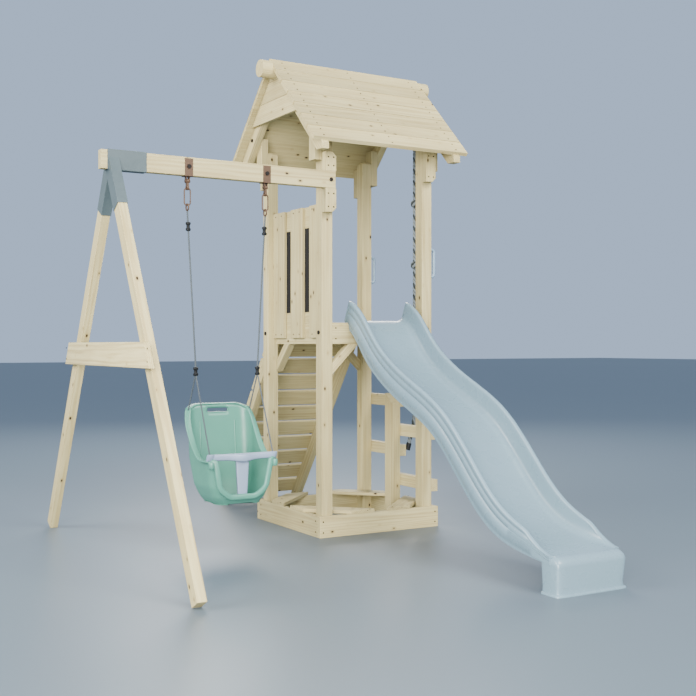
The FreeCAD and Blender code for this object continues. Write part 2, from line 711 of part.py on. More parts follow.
# ------------------------------------------------------------------- swing frame
def swing_frame():
    """The beam, two splayed legs, the board across them and the steel corner bracket."""
    half_beam = "timber_thick / 2"
    beam_y = (f"-beam_line - {half_beam}", f"-beam_line + {half_beam}")
    node(block("swing_beam", ("-beam_reach", "beam_overlap - post_face"), beam_y,
               ("beam_bottom", "beam_top")), "swing_beam")

    across = ("-leg_line", "timber_thick - leg_line")
    gap = "fit_gap"

    def leg_box(name, grow, low, high):
        """A box along the front leg, larger than it all round by `grow`."""
        item = doc.addObject("Part::Box", name)
        item.setExpression("Length", formula(f"timber_thick + 2 * {grow}"))
        item.setExpression("Width", formula(f"timber_depth + 2 * {grow}"))
        item.setExpression("Height", formula(f"{high} - ({low})"))
        y = (f"-beam_line - leg_spread - (timber_depth + {grow}) * cos(lean)"
             f" + ({low}) * sin(lean)")
        z = f"(timber_depth + {grow}) * sin(lean) + ({low}) * cos(lean)"
        return place_turned(item, f"-leg_line - {grow}", y, z, "rotation(vector(1; 0; 0); -lean)")

    stock = leg_box("leg_stock", "0", "0", "leg_length")
    wider = (f"{across[0]} - {SPARE}", f"{across[1]} + {SPARE}")
    past_middle = block("leg_mitre", wider,
                        (f"-beam_line - {gap}", "leg_spread - beam_line"), ("0", "2 * beam_top"))
    under_beam = block("leg_shoulder", wider,
                       ("-beam_line - leg_spread", "-beam_line + leg_spread"),
                       (f"beam_bottom - steel_thick - 2 * {gap}", "2 * beam_top"))
    front = cut("leg_front", stock, past_middle, under_beam)
    node(front, "leg_front")
    node(mirrored("leg_back", front, "-beam_line", Vector(0, 1, 0)), "leg_back")

    low = "cross_board_bottom"
    high = "cross_board_bottom + cross_board_depth"
    wide = "cross_board_half + cross_board_depth * tan(lean)"
    board = slanted("cross_board", ("-leg_line - board_thick", "-leg_line"),
                    (f"-beam_line - ({wide})", f"-beam_line + {wide}"),
                    ("-beam_line - cross_board_half", "-beam_line + cross_board_half"), (low, high))
    node(board, "cross_board")

    skin = "(steel_thick + sleeve_gap)"
    sleeve_x = ("-beam_reach + sleeve_inset", "-beam_reach + sleeve_inset + sleeve_length")
    sleeve = block("bracket_beam_sleeve", sleeve_x,
                   (f"{beam_y[0]} - {skin}", f"{beam_y[1]} + {skin}"),
                   (f"beam_bottom - {skin}", f"beam_top + {skin}"))
    start = "leg_length - leg_sleeve_length - leg_sleeve_drop"
    shell = leg_box("bracket_leg_sleeve", skin, start, f"leg_length + {SPARE}")
    keep = block("bracket_leg_room", wider,
                 ("-beam_line - leg_spread", f"{beam_y[1]} + {skin}"), ("0", f"beam_top + {skin}"))
    outer_front = common("bracket_leg_outer", shell, keep)
    outer_back = mirrored("bracket_leg_outer_back", outer_front, "-beam_line", Vector(0, 1, 0))
    outer = joined("bracket_outer", sleeve, outer_front, outer_back)
    beam_room = block("bracket_beam_room", ("-beam_reach", "-beam_reach + 2 * sleeve_length"),
                      (f"{beam_y[0]} - sleeve_gap", f"{beam_y[1]} + sleeve_gap"),
                      ("beam_bottom - sleeve_gap", "beam_top + sleeve_gap"))
    leg_room = leg_box("bracket_leg_hollow", "sleeve_gap", "0", "leg_length")
    leg_stop = block("bracket_leg_stop", wider,
                     ("-beam_line - 2 * leg_spread", "-beam_line"), ("0", f"beam_bottom - {skin}"))
    hollow = common("bracket_leg_space", leg_room, leg_stop)
    hollow_back = mirrored("bracket_leg_space_back", hollow, "-beam_line", Vector(0, 1, 0))
    node(cut("corner_bracket", outer, beam_room, hollow, hollow_back), "corner_bracket")


# ----------------------------------------------------------------------- hangers
def across_at(sign, reach="hanger_spacing / 2"):
    """The X of something on one side of the swing's middle."""
    return f"(-swing_centre + {sign} * {reach})"


def hanger(sign, word):
    """A steel saddle round the beam with two ears and a pin for the swing's eye."""
    centre = across_at(sign)
    wide = "hanger_width / 2"
    thick = "hanger_thick"
    x = (f"{centre} - {wide}", f"{centre} + {wide}")
    inner = ("-beam_line - timber_thick / 2", "-beam_line + timber_thick / 2")
    outer = block(f"hanger_{word}_outer", x, (f"{inner[0]} - {thick}", f"{inner[1]} + {thick}"),
                  (f"beam_bottom - {thick}", "beam_top - hanger_top_drop"))
    room = block(f"hanger_{word}_room", (f"{x[0]} - {SPARE}", f"{x[1]} + {SPARE}"), inner,
                 ("beam_bottom", "beam_top"))
    parts = [cut(f"hanger_{word}_saddle", outer, room)]
    ear_in = "(eye_thick / 2 + 2 * pivot_play)"
    hole = rod(f"hanger_{word}_hole", "pivot_radius + pivot_play",
               (f"{centre} - {wide}", "-beam_line", "pivot_height"), "hanger_width", "x")
    for end, number in zip(SIDES, (1, 2)):
        near, far = between(end, ear_in, f"{ear_in} + {thick}")
        ear = block(f"hanger_{word}_ear_{number}_plate", (f"{centre} + {near}", f"{centre} + {far}"),
                    ("-beam_line - eye_radius", "-beam_line + eye_radius"),
                    ("pivot_height - eye_radius + ear_trim", f"beam_bottom - {thick}"))
        parts.append(cut(f"hanger_{word}_ear_{number}", ear, hole))
    node(joined(f"hanger_{word}", *parts), f"hanger_{word}")
    reach = f"({ear_in} + {thick} + pivot_play)"
    shaft = rod(f"pin_{word}_shaft", "pivot_radius",
                (f"{centre} - {reach} - pin_head_length", "-beam_line", "pivot_height"),
                f"2 * ({reach} + pin_head_length)", "x")
    heads = []
    for end, number in zip(SIDES, (1, 2)):
        start = between(end, reach, f"{reach} + pin_head_length")[0]
        heads.append(rod(f"pin_{word}_head_{number}", "pivot_radius + pin_head_rim",
                         (f"{centre} + {start}", "-beam_line", "pivot_height"),
                         "pin_head_length", "x"))
    return joined(f"pin_{word}", shaft, *heads)


def eye(sign, word):
    """A flat link with a bush hole for the pin and a hole for the carabiner."""
    centre = across_at(sign)
    x = (f"{centre} - eye_thick / 2", f"{centre} + eye_thick / 2")
    low = "pivot_height - eye_drop"
    top = rod(f"eye_{word}_top", "eye_radius", (x[0], "-beam_line", "pivot_height"), "eye_thick", "x")
    end = rod(f"eye_{word}_end", "eye_radius", (x[0], "-beam_line", low), "eye_thick", "x")
    web = block(f"eye_{word}_web", x,
                ("-beam_line - eye_radius + ear_trim", "-beam_line + eye_radius - ear_trim"),
                (low, "pivot_height"))
    holes = [
        rod(f"eye_{word}_bush", "pivot_radius + pivot_play", (x[0], "-beam_line", "pivot_height"),
            "eye_thick", "x"),
        rod(f"eye_{word}_hole", "2 * link_wire", (x[0], "-beam_line", low), "eye_thick", "x"),
    ]
    return cut(f"eye_{word}", joined(f"eye_{word}_body", top, end, web), *holes)


def carabiner(sign, word):
    """A long wire link with an opening on its outer side, where the gate shuts it."""
    wire = value("link_wire")
    centre = value(across_at(sign))
    line = -value("beam_line")
    top = value("carabiner_top") - wire
    bottom = value("carabiner_bottom") + wire
    half = value("carabiner_width") / 2 - wire
    low, high = value("gate_low"), value("gate_high")
    corners = [(half, low), (half, bottom), (-half, bottom), (-half, top), (half, top), (half, high)]
    points = [Vector(centre + x, line, z) for x, z in corners]
    return made(f"carabiner_{word}", tube(points, wire, half * 0.98))


def gate(sign, word):
    """The sprung bar that shuts a carabiner, on the knuckle that it turns about."""
    x = f"{across_at(sign)} + carabiner_width / 2 - link_wire"
    knuckle = rod(f"gate_{word}_knuckle", "gate_knuckle",
                  (x, "-beam_line - gate_knuckle", "gate_pivot"), "2 * gate_knuckle", "y")
    bar = rod(f"gate_{word}_bar", "gate_radius", (x, "-beam_line", "gate_pivot"),
              "gate_high - gate_pivot - fit_gap", "z")
    node(joined(f"carabiner_gate_{word}", knuckle, bar), f"carabiner_gate_{word}")


def ropes_and_links():
    """Everything that hangs between the beam and the seat."""
    words = ("left", "right")
    pins = [hanger(sign, word) for sign, word in zip(SIDES, words)]
    group("hanger_pins", *pins)
    group("swing_eyes", *[eye(sign, word) for sign, word in zip(SIDES, words)])
    group("carabiners", *[carabiner(sign, word) for sign, word in zip(SIDES, words)])
    for sign, word in zip(SIDES, words):
        gate(sign, word)
    group("swing_rings", *[ring(f"swing_ring_{word}", "ring_radius", "ring_wire",
                                (across_at(sign), "-beam_line", "ring_height"), "x")
                           for sign, word in zip(SIDES, words)])
    adjusters = []
    for sign, word in zip(SIDES, words):
        top = (across_at(sign), "-beam_line", "rope_top")
        split = (across_at(sign, "strand_spread"), "-beam_line", "split_top")
        rope = strut(f"rope_main_{word}", "rope_radius", split, top)
        node(rope, f"rope_main_{word}")
        share = "((high_adjuster - split_top) / (rope_top - split_top))"
        x = f"({split[0]} + ({top[0]} - {split[0]}) * {share})"
        wide, thick = "adjuster_width / 2", "adjuster_thick / 2"
        y = (f"-beam_line - {thick}", f"-beam_line + {thick}")
        high = block(f"adjuster_high_{word}_body", (f"{x} - {wide}", f"{x} + {wide}"), y,
                     ("high_adjuster", "high_adjuster + adjuster_length"))
        bore = strut(f"adjuster_high_{word}_bore", "rope_radius + fit_gap", split, top)
        adjusters.append(cut(f"adjuster_high_{word}", high, bore))
        adjusters.append(block(f"adjuster_low_{word}", (f"{split[0]} - {wide}", f"{split[0]} + {wide}"),
                               y, ("split_height", "split_top")))
        for part, run, level in (("back", "back_tie_run", "back_tie_height"),
                                 ("front", "-front_tie_run", "front_tie_height")):
            foot = (split[0], f"-beam_line + ({run})", level)
            strand = strut(f"rope_{part}_{word}", "strand_radius", foot,
                           (split[0], "-beam_line + split_offset * "
                            + ("1" if part == "back" else "-1"), "split_height"))
            node(strand, f"rope_{part}_{word}")
    group("rope_adjusters", *adjusters)


# -------------------------------------------------------------------------- seat
def rounded_section(half, front, back, radius, level):
    """A level wire with rounded corners, in the seat's own place."""
    centre, line = -value("swing_centre"), -value("beam_line")
    low = Vector(centre - half, line + front, level)
    plate = Part.makeBox(2 * half, back - front, 1, low)
    upright = [edge for edge in plate.Edges if edge.Vertexes[0].X == edge.Vertexes[1].X
               and edge.Vertexes[0].Y == edge.Vertexes[1].Y]
    plate = plate.makeFillet(radius, upright)
    bottom = min(plate.Faces, key=lambda face: face.CenterOfMass.z)
    return bottom.OuterWire


# The seat's level sections: height, then how far in from its widest they are at the
# sides, the front and the back, and their corner radius.
SEAT_SECTIONS = (
    ("seat_bottom", 58, 24, 70, 50),
    ("seat_bottom + 90", 20, 12, 42, 55),
    ("seat_side_top", 0, 0, 20, 60),
    ("seat_top + 1", 4, 0, 0, 62),
)
# The seat's upper edge in its side view: level along the front, then up to the back.
SEAT_EDGE = (
    ("-seat_front - 10", "seat_side_top"), ("-seat_front + 90", "seat_side_top"),
    ("seat_back - 100", "seat_side_top + 70"), ("seat_back - 52", "seat_top - 70"),
    ("seat_back - 34", "seat_top + 10"), ("-seat_front - 10", "seat_top + 10"),
)


def seat_shell():
    """A bucket seat open at the front for the legs, with a high back and a slot in it."""
    wall = value("seat_wall")
    front, back = -value("seat_front"), value("seat_back")
    half = value("seat_half_width")
    centre, line = -value("swing_centre"), -value("beam_line")

    def bucket(grow, lift):
        sections = [
            rounded_section(half - sides + grow, front + fore - grow, back - aft + grow,
                            corner + grow, value(height) + (lift if height == "seat_bottom" else 0))
            for height, sides, fore, aft, corner in SEAT_SECTIONS
        ]
        return Part.makeLoft(sections, True, False)

    shell = bucket(0, 0).cut(bucket(-wall, wall))
    outline = [Vector(centre - half - SPARE, line + value(run), value(level))
               for run, level in SEAT_EDGE]
    above = Part.Face(Part.makePolygon(outline + outline[:1]))
    shell = shell.cut(above.extrude(Vector(2 * (half + SPARE), 0, 0)))

    opening_half = value("leg_opening_half")
    lip = value("seat_bottom + seat_lip")
    gap = Part.makeBox(2 * opening_half, 3 * SPARE, value("seat_side_top") + SPARE - lip,
                       Vector(centre - opening_half, line + front - SPARE / 4, lip))
    edges = [edge for edge in gap.Edges if edge.Vertexes[0].X == edge.Vertexes[1].X
             and edge.Vertexes[0].Z == edge.Vertexes[1].Z == lip]
    shell = shell.cut(gap.makeFillet(value("leg_opening_corner"), edges))
    slot_half = value("back_slot_width") / 2
    slot = Part.makeBox(2 * slot_half, 4 * SPARE, value("back_slot_depth"),
                        Vector(centre - slot_half, line + back - 2 * SPARE,
                               value("seat_top - back_slot_drop")))
    shell = shell.cut(slot)
    for sign in SIDES:
        spot = Vector(centre + sign * value("strand_spread"), line - value("front_tie_run"),
                      value("seat_side_top - lug_depth"))
        shell = shell.fuse(Part.makeCylinder(value("lug_radius"), value("lug_depth"), spot))
    node(made("seat_shell", shell.removeSplitter()), "seat_shell")


def safety_bar():
    """A T-shaped bar that rides up the two front strands."""
    centre = "-swing_centre"
    low = "bar_height - bar_depth / 2"
    bar = block("safety_bar_rail", (f"{centre} - bar_half", f"{centre} + bar_half"),
                ("bar_line - bar_width / 2", "bar_line + bar_width / 2"), (low, f"{low} + bar_depth"))
    post = block("safety_bar_post", (f"{centre} - bar_post_width / 2", f"{centre} + bar_post_width / 2"),
                 ("bar_line - bar_post_thick / 2", "bar_line + bar_post_thick / 2"),
                 ("seat_bottom + seat_lip + bar_play", low))
    bores = []
    for sign, word in zip(SIDES, ("left", "right")):
        spread = across_at(sign, "strand_spread")
        bores.append(strut(f"safety_bar_bore_{word}", "strand_radius + bar_play",
                           (spread, "-beam_line - front_tie_run", "front_tie_height"),
                           (spread, "-beam_line - split_offset", "split_height")))
    node(cut("safety_bar", joined("safety_bar_body", bar, post), *bores), "safety_bar")


# ----------------------------------------------------------------- climbing rope
def climbing_rope():
    """A knotted rope that hangs from an eye under the end of the ridge log."""
    line = value("climb_line")
    radius = value("climb_radius")
    top = value("climb_top")
    bottom = value("climb_bottom")
    end = Vector(line - value("tail_run"), 0, bottom)
    path = [Vector(line, 0, top), Vector(line, 0, bottom + value("tail_rise")), end]
    rope = tube(path, radius, value("tail_bend"))
    node(made("climbing_rope", rope), "climbing_rope")
    knots = []
    for index in range(KNOTS):
        level = f"knot_top - {index} * knot_pitch"
        knot = doc.addObject("Part::Sphere", f"knot_{index + 1}_round")
        knot.setExpression("Radius", formula("knot_radius"))
        place(knot, "climb_line", "0", level)
        bore = rod(f"knot_{index + 1}_bore", "climb_radius",
                   ("climb_line", "0", f"{level} - knot_radius"), "2 * knot_radius", "z")
        knots.append(cut(f"knot_{index + 1}", knot, bore))
    group("climbing_knots", *knots)
    toward = (end - path[1]).normalize()
    cap = Part.makeCylinder(value("cap_radius"), value("cap_length"),
                            end - toward * value("cap_bite"), toward)
    node(made("rope_end_cap", cap.cut(rope)), "rope_end_cap")
    loop = "climb_top + thimble_radius - ring_wire"
    node(ring("rope_thimble", "thimble_radius", "ring_wire", ("climb_line", "0", loop), "x"),
         "rope_thimble")
    hook = "climb_hang + ring_radius + ring_wire"
    hook_ring = ring("rope_hook_ring", "ring_radius", "ring_wire", ("climb_line", "0", hook), "y")
    shank_start = f"{hook} + ring_radius"
    shank = rod("rope_hook_shank", "ring_wire", ("climb_line", "0", shank_start),
                f"log_height - log_radius + hook_bite - ({shank_start})", "z")
    node(joined("rope_hook", hook_ring, shank), "rope_hook")


# ---------------------------------------------------------------------- fasteners
def fasteners():
    """The large bolt heads that show on the beam, the posts and the rafters."""
    beam_face = "-beam_line - timber_thick / 2 - bolt_head_depth"
    heads = []
    for sign, word in zip(SIDES, ("left", "right")):
        heads.append(rod(f"bolt_hanger_{word}", "bolt_head",
                         (across_at(sign), f"{beam_face} - hanger_thick",
                          "beam_bottom + beam_depth / 2"), "bolt_head_depth", "y"))
    heads.append(rod("bolt_beam", "bolt_head",
                     ("-post_line", beam_face, "beam_bottom + beam_depth / 2"),
                     "bolt_head_depth", "y"))
    for sign, word in zip(SIDES, ("front", "back")):
        heads.append(rod(f"bolt_rail_{word}", "bolt_head",
                         ("-post_face - bolt_head_depth", side(sign, "post_line"),
                          "wall_bottom + rail_bolt_rise"),
                         "bolt_head_depth", "x"))
        for x_sign, x_word in zip(SIDES, ("left", "right")):
            start = "-rafter_out - bolt_head_depth" if x_sign < 0 else "rafter_out"
            heads.append(rod(f"bolt_rafter_{word}_{x_word}", "bolt_head",
                             (start, side(sign, "post_line"),
                              "roof_under - post_line - rafter_rise / 2"), "bolt_head_depth", "x"))
    group("bolt_heads", *heads)


# ------------------------------------------------------------------------- build
def save():
    """Check every object, then write one file for each sub-part."""
    doc.recompute()
    for item in doc.Objects:
        if {"Invalid", "Error"} & set(item.State):
            raise RuntimeError(f"{item.Name}: {item.State}")
    for item in nodes:
        shape = item.Shape
        if shape.isNull() or not shape.isValid() or not shape.Solids:
            raise RuntimeError(f"{item.Label} has no valid solid")
    os.makedirs("parts", exist_ok=True)
    for item in nodes:
        item.Shape.exportStep(f"parts/{item.Label}.step")
    print(len(nodes), "sub-parts written")


posts()
sandbox()
platform()
knee_braces()
slatted_wall()
roof()
head_blocks()
ramp()
rungs()
handles()
slide()
swing_frame()
ropes_and_links()
seat_shell()
safety_bar()
climbing_rope()
fasteners()
save()
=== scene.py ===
"""Looks for a wooden play tower with a slide and a toddler swing, built round its frame."""

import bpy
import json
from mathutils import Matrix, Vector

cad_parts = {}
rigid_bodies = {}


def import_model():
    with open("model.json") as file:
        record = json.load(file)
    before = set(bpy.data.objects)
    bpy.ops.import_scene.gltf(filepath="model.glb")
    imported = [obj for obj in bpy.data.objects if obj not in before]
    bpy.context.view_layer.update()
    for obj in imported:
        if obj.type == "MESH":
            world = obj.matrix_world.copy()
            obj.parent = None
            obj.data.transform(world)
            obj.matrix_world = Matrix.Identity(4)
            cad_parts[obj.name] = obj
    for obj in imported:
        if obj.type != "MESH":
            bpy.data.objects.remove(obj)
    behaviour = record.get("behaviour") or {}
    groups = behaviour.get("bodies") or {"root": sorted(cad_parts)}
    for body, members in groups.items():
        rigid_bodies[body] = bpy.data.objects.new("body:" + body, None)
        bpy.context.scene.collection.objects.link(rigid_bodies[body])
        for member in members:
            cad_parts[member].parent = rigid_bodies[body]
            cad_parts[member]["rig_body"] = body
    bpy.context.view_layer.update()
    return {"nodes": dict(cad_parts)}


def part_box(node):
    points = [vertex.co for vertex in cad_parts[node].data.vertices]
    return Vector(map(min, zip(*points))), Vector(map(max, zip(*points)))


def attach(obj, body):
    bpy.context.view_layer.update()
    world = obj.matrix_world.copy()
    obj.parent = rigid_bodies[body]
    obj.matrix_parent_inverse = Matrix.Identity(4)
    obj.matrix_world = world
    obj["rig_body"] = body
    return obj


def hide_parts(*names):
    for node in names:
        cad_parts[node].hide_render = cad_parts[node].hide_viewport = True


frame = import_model()

import copy
import json
import math
import random

import bmesh
import bpy
from bpy.props import FloatProperty, FloatVectorProperty, IntProperty, PointerProperty
from mathutils import Matrix, Vector
from mathutils.bvhtree import BVHTree

bl_info = {
    "name": "Wooden play tower",
    "version": (1, 0, 0),
    "blender": (4, 5, 0),
    "location": "3D View > Sidebar > Play Tower",
    "description": "Builds the timber, plastic, rope and steel of a play tower with a swing",
    "category": "Add Mesh",
}

UP = Vector((0, 0, 1))
BODY_OF = {name: item["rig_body"] for name, item in frame["nodes"].items()}
TOWER_MIDDLE = sum(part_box("corner_seats"), Vector()) / 2
SEAT_MIDDLE = sum(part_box("seat_shell"), Vector()) / 2
SWING_LINE = (sum(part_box("hanger_pins"), Vector()) / 2).y


# ---------------------------------------------------------------------- settings
def colour(name, description, default):
    """A colour setting."""
    return FloatVectorProperty(name=name, description=description, default=default,
                               subtype="COLOR", size=3, min=0, max=1)


def length(name, description, default):
    """A size setting, in metres."""
    return FloatProperty(name=name, description=description, default=default, min=0, unit="LENGTH")


class PlayTowerTimber(bpy.types.PropertyGroup):
    """Finish of the timber."""
    pale: colour("Pale wood", "Colour between the growth rings", (0.52, 0.455, 0.235))
    deep: colour("Deep wood", "Colour of the growth rings", (0.32, 0.24, 0.098))
    knot: colour("Knots", "Colour of the knots", (0.016, 0.007, 0.003))
    edge: length("Edge", "How far each board's edges are eased", 0.0022)
    ring: length("Ring spacing", "Distance between growth rings", 0.0085)
    screw: length("Screw head", "Radius of a screw head", 0.0046)
    courses: IntProperty(name="Roof courses", description="Boards on each slope", default=7, min=1)
    seed: IntProperty(name="Seed", description="Picks the boards' grain and joints", default=4)


class PlayTowerSlide(bpy.types.PropertyGroup):
    """Shape and colour of the slide."""
    tint: colour("Slide", "Colour of the slide", (0.155, 0.235, 0.285))
    step: length("Step", "Distance between the slide's cross-sections", 0.022)
    groove: length("Groove", "Depth of the grooves along the sides", 0.004)
    fillet: length("Fillet", "Radius where the bed turns up into its walls", 0.045)


class PlayTowerSwing(bpy.types.PropertyGroup):
    """Shape and colours of the swing."""
    shell: colour("Seat", "Colour of the seat", (0.072, 0.235, 0.178))
    bar: colour("Bar", "Colour of the safety bar", (0.22, 0.28, 0.38))
    handle: colour("Handles", "Colour of the handles", (0.19, 0.28, 0.38))
    wall: length("Wall", "Thickness of the seat's wall", 0.006)
    roll: length("Rolled edge", "Width of the rolled edge of the seat", 0.012)


class PlayTowerRope(bpy.types.PropertyGroup):
    """Lay and colours of the ropes."""
    grey: colour("Swing rope", "Colour of the swing's ropes", (0.075, 0.092, 0.105))
    pale: colour("Pale strand", "Pale strands of the climbing rope", (0.14, 0.165, 0.175))
    dark: colour("Dark strand", "Dark strand of the climbing rope", (0.018, 0.024, 0.024))
    thick: length("Climbing rope", "Diameter of the climbing rope", 0.026)
    thin: length("Swing rope size", "Diameter of the swing's ropes", 0.010)
    strand: length("Strand size", "Diameter of the four short ropes", 0.008)


class PlayTowerStage(bpy.types.PropertyGroup):
    """Floor, light and camera."""
    floor: colour("Floor", "Colour of the floor", (0.095, 0.125, 0.15))
    sky: colour("Sky", "Colour of the light all round", (0.50, 0.655, 0.90))
    lens: FloatProperty(name="Lens", description="Focal length of the camera", default=54.5,
                        min=1, unit="CAMERA")


# --------------------------------------------------------------------- materials
class Finish:
    """One material, built node by node."""

    def __init__(self, name, roughness, metallic=0.0, gloss=0.5):
        self.material = bpy.data.materials.new(name)
        self.material.use_nodes = True
        self.tree = self.material.node_tree
        self.shader = self.tree.nodes["Principled BSDF"]
        self.shader.inputs["Roughness"].default_value = roughness
        self.shader.inputs["Metallic"].default_value = metallic
        self.shader.inputs["Specular IOR Level"].default_value = gloss

    def add(self, kind, inputs, **settings):
        """A node, with its inputs linked or set."""
        item = self.tree.nodes.new(kind)
        for name, value in settings.items():
            setattr(item, name, value)
        for name, value in inputs.items():
            self.join(item.inputs[name], value)
        return item

    def join(self, socket, value):
        """Link a socket, or give it a plain value."""
        if isinstance(value, bpy.types.NodeSocket):
            self.tree.links.new(value, socket)
        else:
            socket.default_value = value

    def number(self, how, *values):
        """A sum of plain numbers."""
        return self.add("ShaderNodeMath", dict(enumerate(values)), operation=how).outputs[0]

    def vector(self, how, a, b):
        """A sum of vectors, or their dot product."""
        item = self.add("ShaderNodeVectorMath", {0: a, 1: b}, operation=how)
        return item.outputs["Value" if how == "DOT_PRODUCT" else "Vector"]

    def scaled(self, vector, by):
        """A vector times a number."""
        item = self.add("ShaderNodeVectorMath", {0: vector, "Scale": by}, operation="SCALE")
        return item.outputs["Vector"]

    def size_of(self, vector):
        """The length of a vector."""
        return self.add("ShaderNodeVectorMath", {0: vector}, operation="LENGTH").outputs["Value"]

    def noise(self, where, scale, detail):
        """Soft noise at a place."""
        inputs = {"Vector": where, "Scale": scale, "Detail": detail}
        return self.add("ShaderNodeTexNoise", inputs).outputs["Fac"]

    def span(self, value, low, high, start, end):
        """A value moved from one range into another, and held inside it."""
        inputs = {"Value": value, "From Min": low, "From Max": high, "To Min": start,
                  "To Max": end}
        item = self.add("ShaderNodeMapRange", inputs, interpolation_type="SMOOTHSTEP")
        return item.outputs[0]

    def mix(self, share, a, b, blend="MIX"):
        """Two colours mixed."""
        item = self.add("ShaderNodeMix", {0: share, 6: a, 7: b}, data_type="RGBA",
                        blend_type=blend)
        return item.outputs[2]

    def place(self):
        """The place on the piece, in metres."""
        return self.add("ShaderNodeTexCoord", {}).outputs["Object"]

    def note(self, name, output="Vector"):
        """Something that the mesh says about its own boards."""
        return self.add("ShaderNodeAttribute", {}, attribute_name=name).outputs[output]

    def bump(self, height, strength, distance):
        """Small relief on the surface."""
        inputs = {"Height": height, "Strength": strength, "Distance": distance}
        self.join(self.shader.inputs["Normal"], self.add("ShaderNodeBump", inputs).outputs[0])


def full(rgb, by=1.0):
    """A colour with its alpha, made lighter or darker."""
    return (*(min(1.0, part * by) for part in rgb), 1.0)


def pine_finish(timber):
    """Planed pine: rings round a pith that lies beside each board, streaks and knots."""
    made = Finish("planed_pine", 0.62, gloss=0.3)
    grain = made.note("grain")
    offset = made.vector("SUBTRACT", made.place(), made.note("pith"))
    along = made.vector("DOT_PRODUCT", offset, grain)
    across = made.vector("SUBTRACT", offset, made.scaled(grain, along))
    drawn = made.vector("ADD", across, made.scaled(grain, made.number("MULTIPLY", along, 0.05)))
    waver = made.noise(drawn, 14.0, 3.0)
    radius = made.number("MULTIPLY_ADD", waver, 0.035, made.size_of(across))
    turns = made.number("MULTIPLY", radius, 2 * math.pi / timber.ring)
    rings = made.span(made.number("SINE", turns), -0.6, 1.0, 0.0, 1.0)
    streaks = made.span(made.noise(drawn, 70.0, 4.0), 0.35, 0.7, 0.0, 1.0)
    patches = made.span(made.noise(offset, 3.0, 1.0), 0.3, 0.7, 0.0, 1.0)
    shade = made.number("MULTIPLY_ADD", rings, 0.34, made.number("MULTIPLY", streaks, 0.30))
    shade = made.number("MULTIPLY_ADD", patches, 0.16, shade)
    wood = made.mix(shade, full(timber.pale), full(timber.deep))
    cells = made.vector("ADD", made.scaled(across, 15.0),
                        made.scaled(grain, made.number("MULTIPLY", along, 9.0)))
    spots = made.add("ShaderNodeTexVoronoi", {"Vector": cells, "Scale": 1.0})
    chosen = made.span(made.add("ShaderNodeSeparateColor", {0: spots.outputs["Color"]}).outputs[0],
                       0.14, 0.20, 0.0, 1.0)
    near = spots.outputs["Distance"]
    heart = made.number("MULTIPLY", made.span(near, 0.055, 0.115, 1.0, 0.0), chosen)
    halo = made.number("MULTIPLY", made.span(near, 0.08, 0.22, 0.6, 0.0), chosen)
    wood = made.mix(halo, wood, full(timber.deep))
    wood = made.mix(heart, wood, full(timber.knot))
    tone = made.span(made.note("board", "Fac"), 0.0, 1.0, 0.90, 1.06)
    tint = made.add("ShaderNodeCombineColor", {0: tone, 1: tone, 2: tone}).outputs[0]
    wood = made.mix(1.0, wood, tint, "MULTIPLY")
    made.join(made.shader.inputs["Base Color"], wood)
    made.join(made.shader.inputs["Roughness"], made.span(rings, 0.0, 1.0, 0.68, 0.55))
    made.bump(made.number("ADD", rings, streaks), 0.35, 0.0006)
    return made.material


def plastic_finish(name, tint, roughness, gloss=0.5):
    """Moulded plastic with a fine skin and faint cloudiness."""
    made = Finish(name, roughness, gloss=gloss)
    spot = made.place()
    cloud = made.noise(spot, 3.0, 2.0)
    made.join(made.shader.inputs["Base Color"],
              made.mix(cloud, full(tint, 0.96), full(tint, 1.04)))
    made.join(made.shader.inputs["Roughness"],
              made.span(made.noise(spot, 12.0, 3.0), 0.3, 0.7, roughness - 0.04, roughness + 0.06))
    made.bump(made.noise(spot, 700.0, 1.0), 0.05, 0.0002)
    return made.material


def steel_finish(name, tint, roughness, metallic, gloss=0.5):
    """Coated or plated steel with a mottled skin and fine wear."""
    made = Finish(name, roughness, metallic, gloss)
    spot = made.place()
    flakes = made.add("ShaderNodeTexVoronoi", {"Vector": spot, "Scale": 120.0})
    mottle = made.number("MULTIPLY_ADD", made.noise(spot, 22.0, 4.0), 0.7,
                         made.number("MULTIPLY", flakes.outputs["Distance"], 0.35))
    made.join(made.shader.inputs["Base Color"],
              made.mix(mottle, full(tint, 0.80), full(tint, 1.18)))
    made.join(made.shader.inputs["Roughness"],
              made.span(mottle, 0.2, 0.8, roughness - 0.06, roughness + 0.10))
    made.bump(made.noise(spot, 300.0, 3.0), 0.15, 0.0003)
    return made.material


def fibre_finish(name, tint):
    """Spun fibre: fine threads that run round each strand."""
    made = Finish(name, 0.86)
    spot = made.place()
    threads = made.noise(made.vector("MULTIPLY", spot, (1400.0, 1400.0, 350.0)), 1.0, 3.0)
    patches = made.noise(spot, 60.0, 2.0)
    share = made.number("MULTIPLY_ADD", patches, 0.4, made.number("MULTIPLY", threads, 0.6))
    made.join(made.shader.inputs["Base Color"],
              made.mix(share, full(tint, 0.55), full(tint, 1.35)))
    made.bump(threads, 0.6, 0.0008)
    return made.material


# ----------------------------------------------------------------- mesh helpers
def new_piece(name, bm, materials, sharp=25):
    """An object from a finished mesh, smooth except where it turns sharply."""
    mesh = bpy.data.meshes.new(name)
    bm.to_mesh(mesh)
    bm.free()
    for item in materials:
        mesh.materials.append(item)
    mesh.polygons.foreach_set("use_smooth", [True] * len(mesh.polygons))
    mesh.set_sharp_from_angle(angle=math.radians(sharp))
    item = bpy.data.objects.new(name, mesh)
    bpy.context.scene.collection.objects.link(item)
    return item


def settle(item, node):
    """The piece stands for a CAD node: it moves with the node's body, and the node is hidden."""
    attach(item, BODY_OF[node])
    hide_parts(node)
    return item


def dress(names, material):
    """Give CAD nodes that stay as they are their material."""
    for name in names:
        mesh = frame["nodes"][name].data
        mesh.materials.clear()
        mesh.materials.append(material)


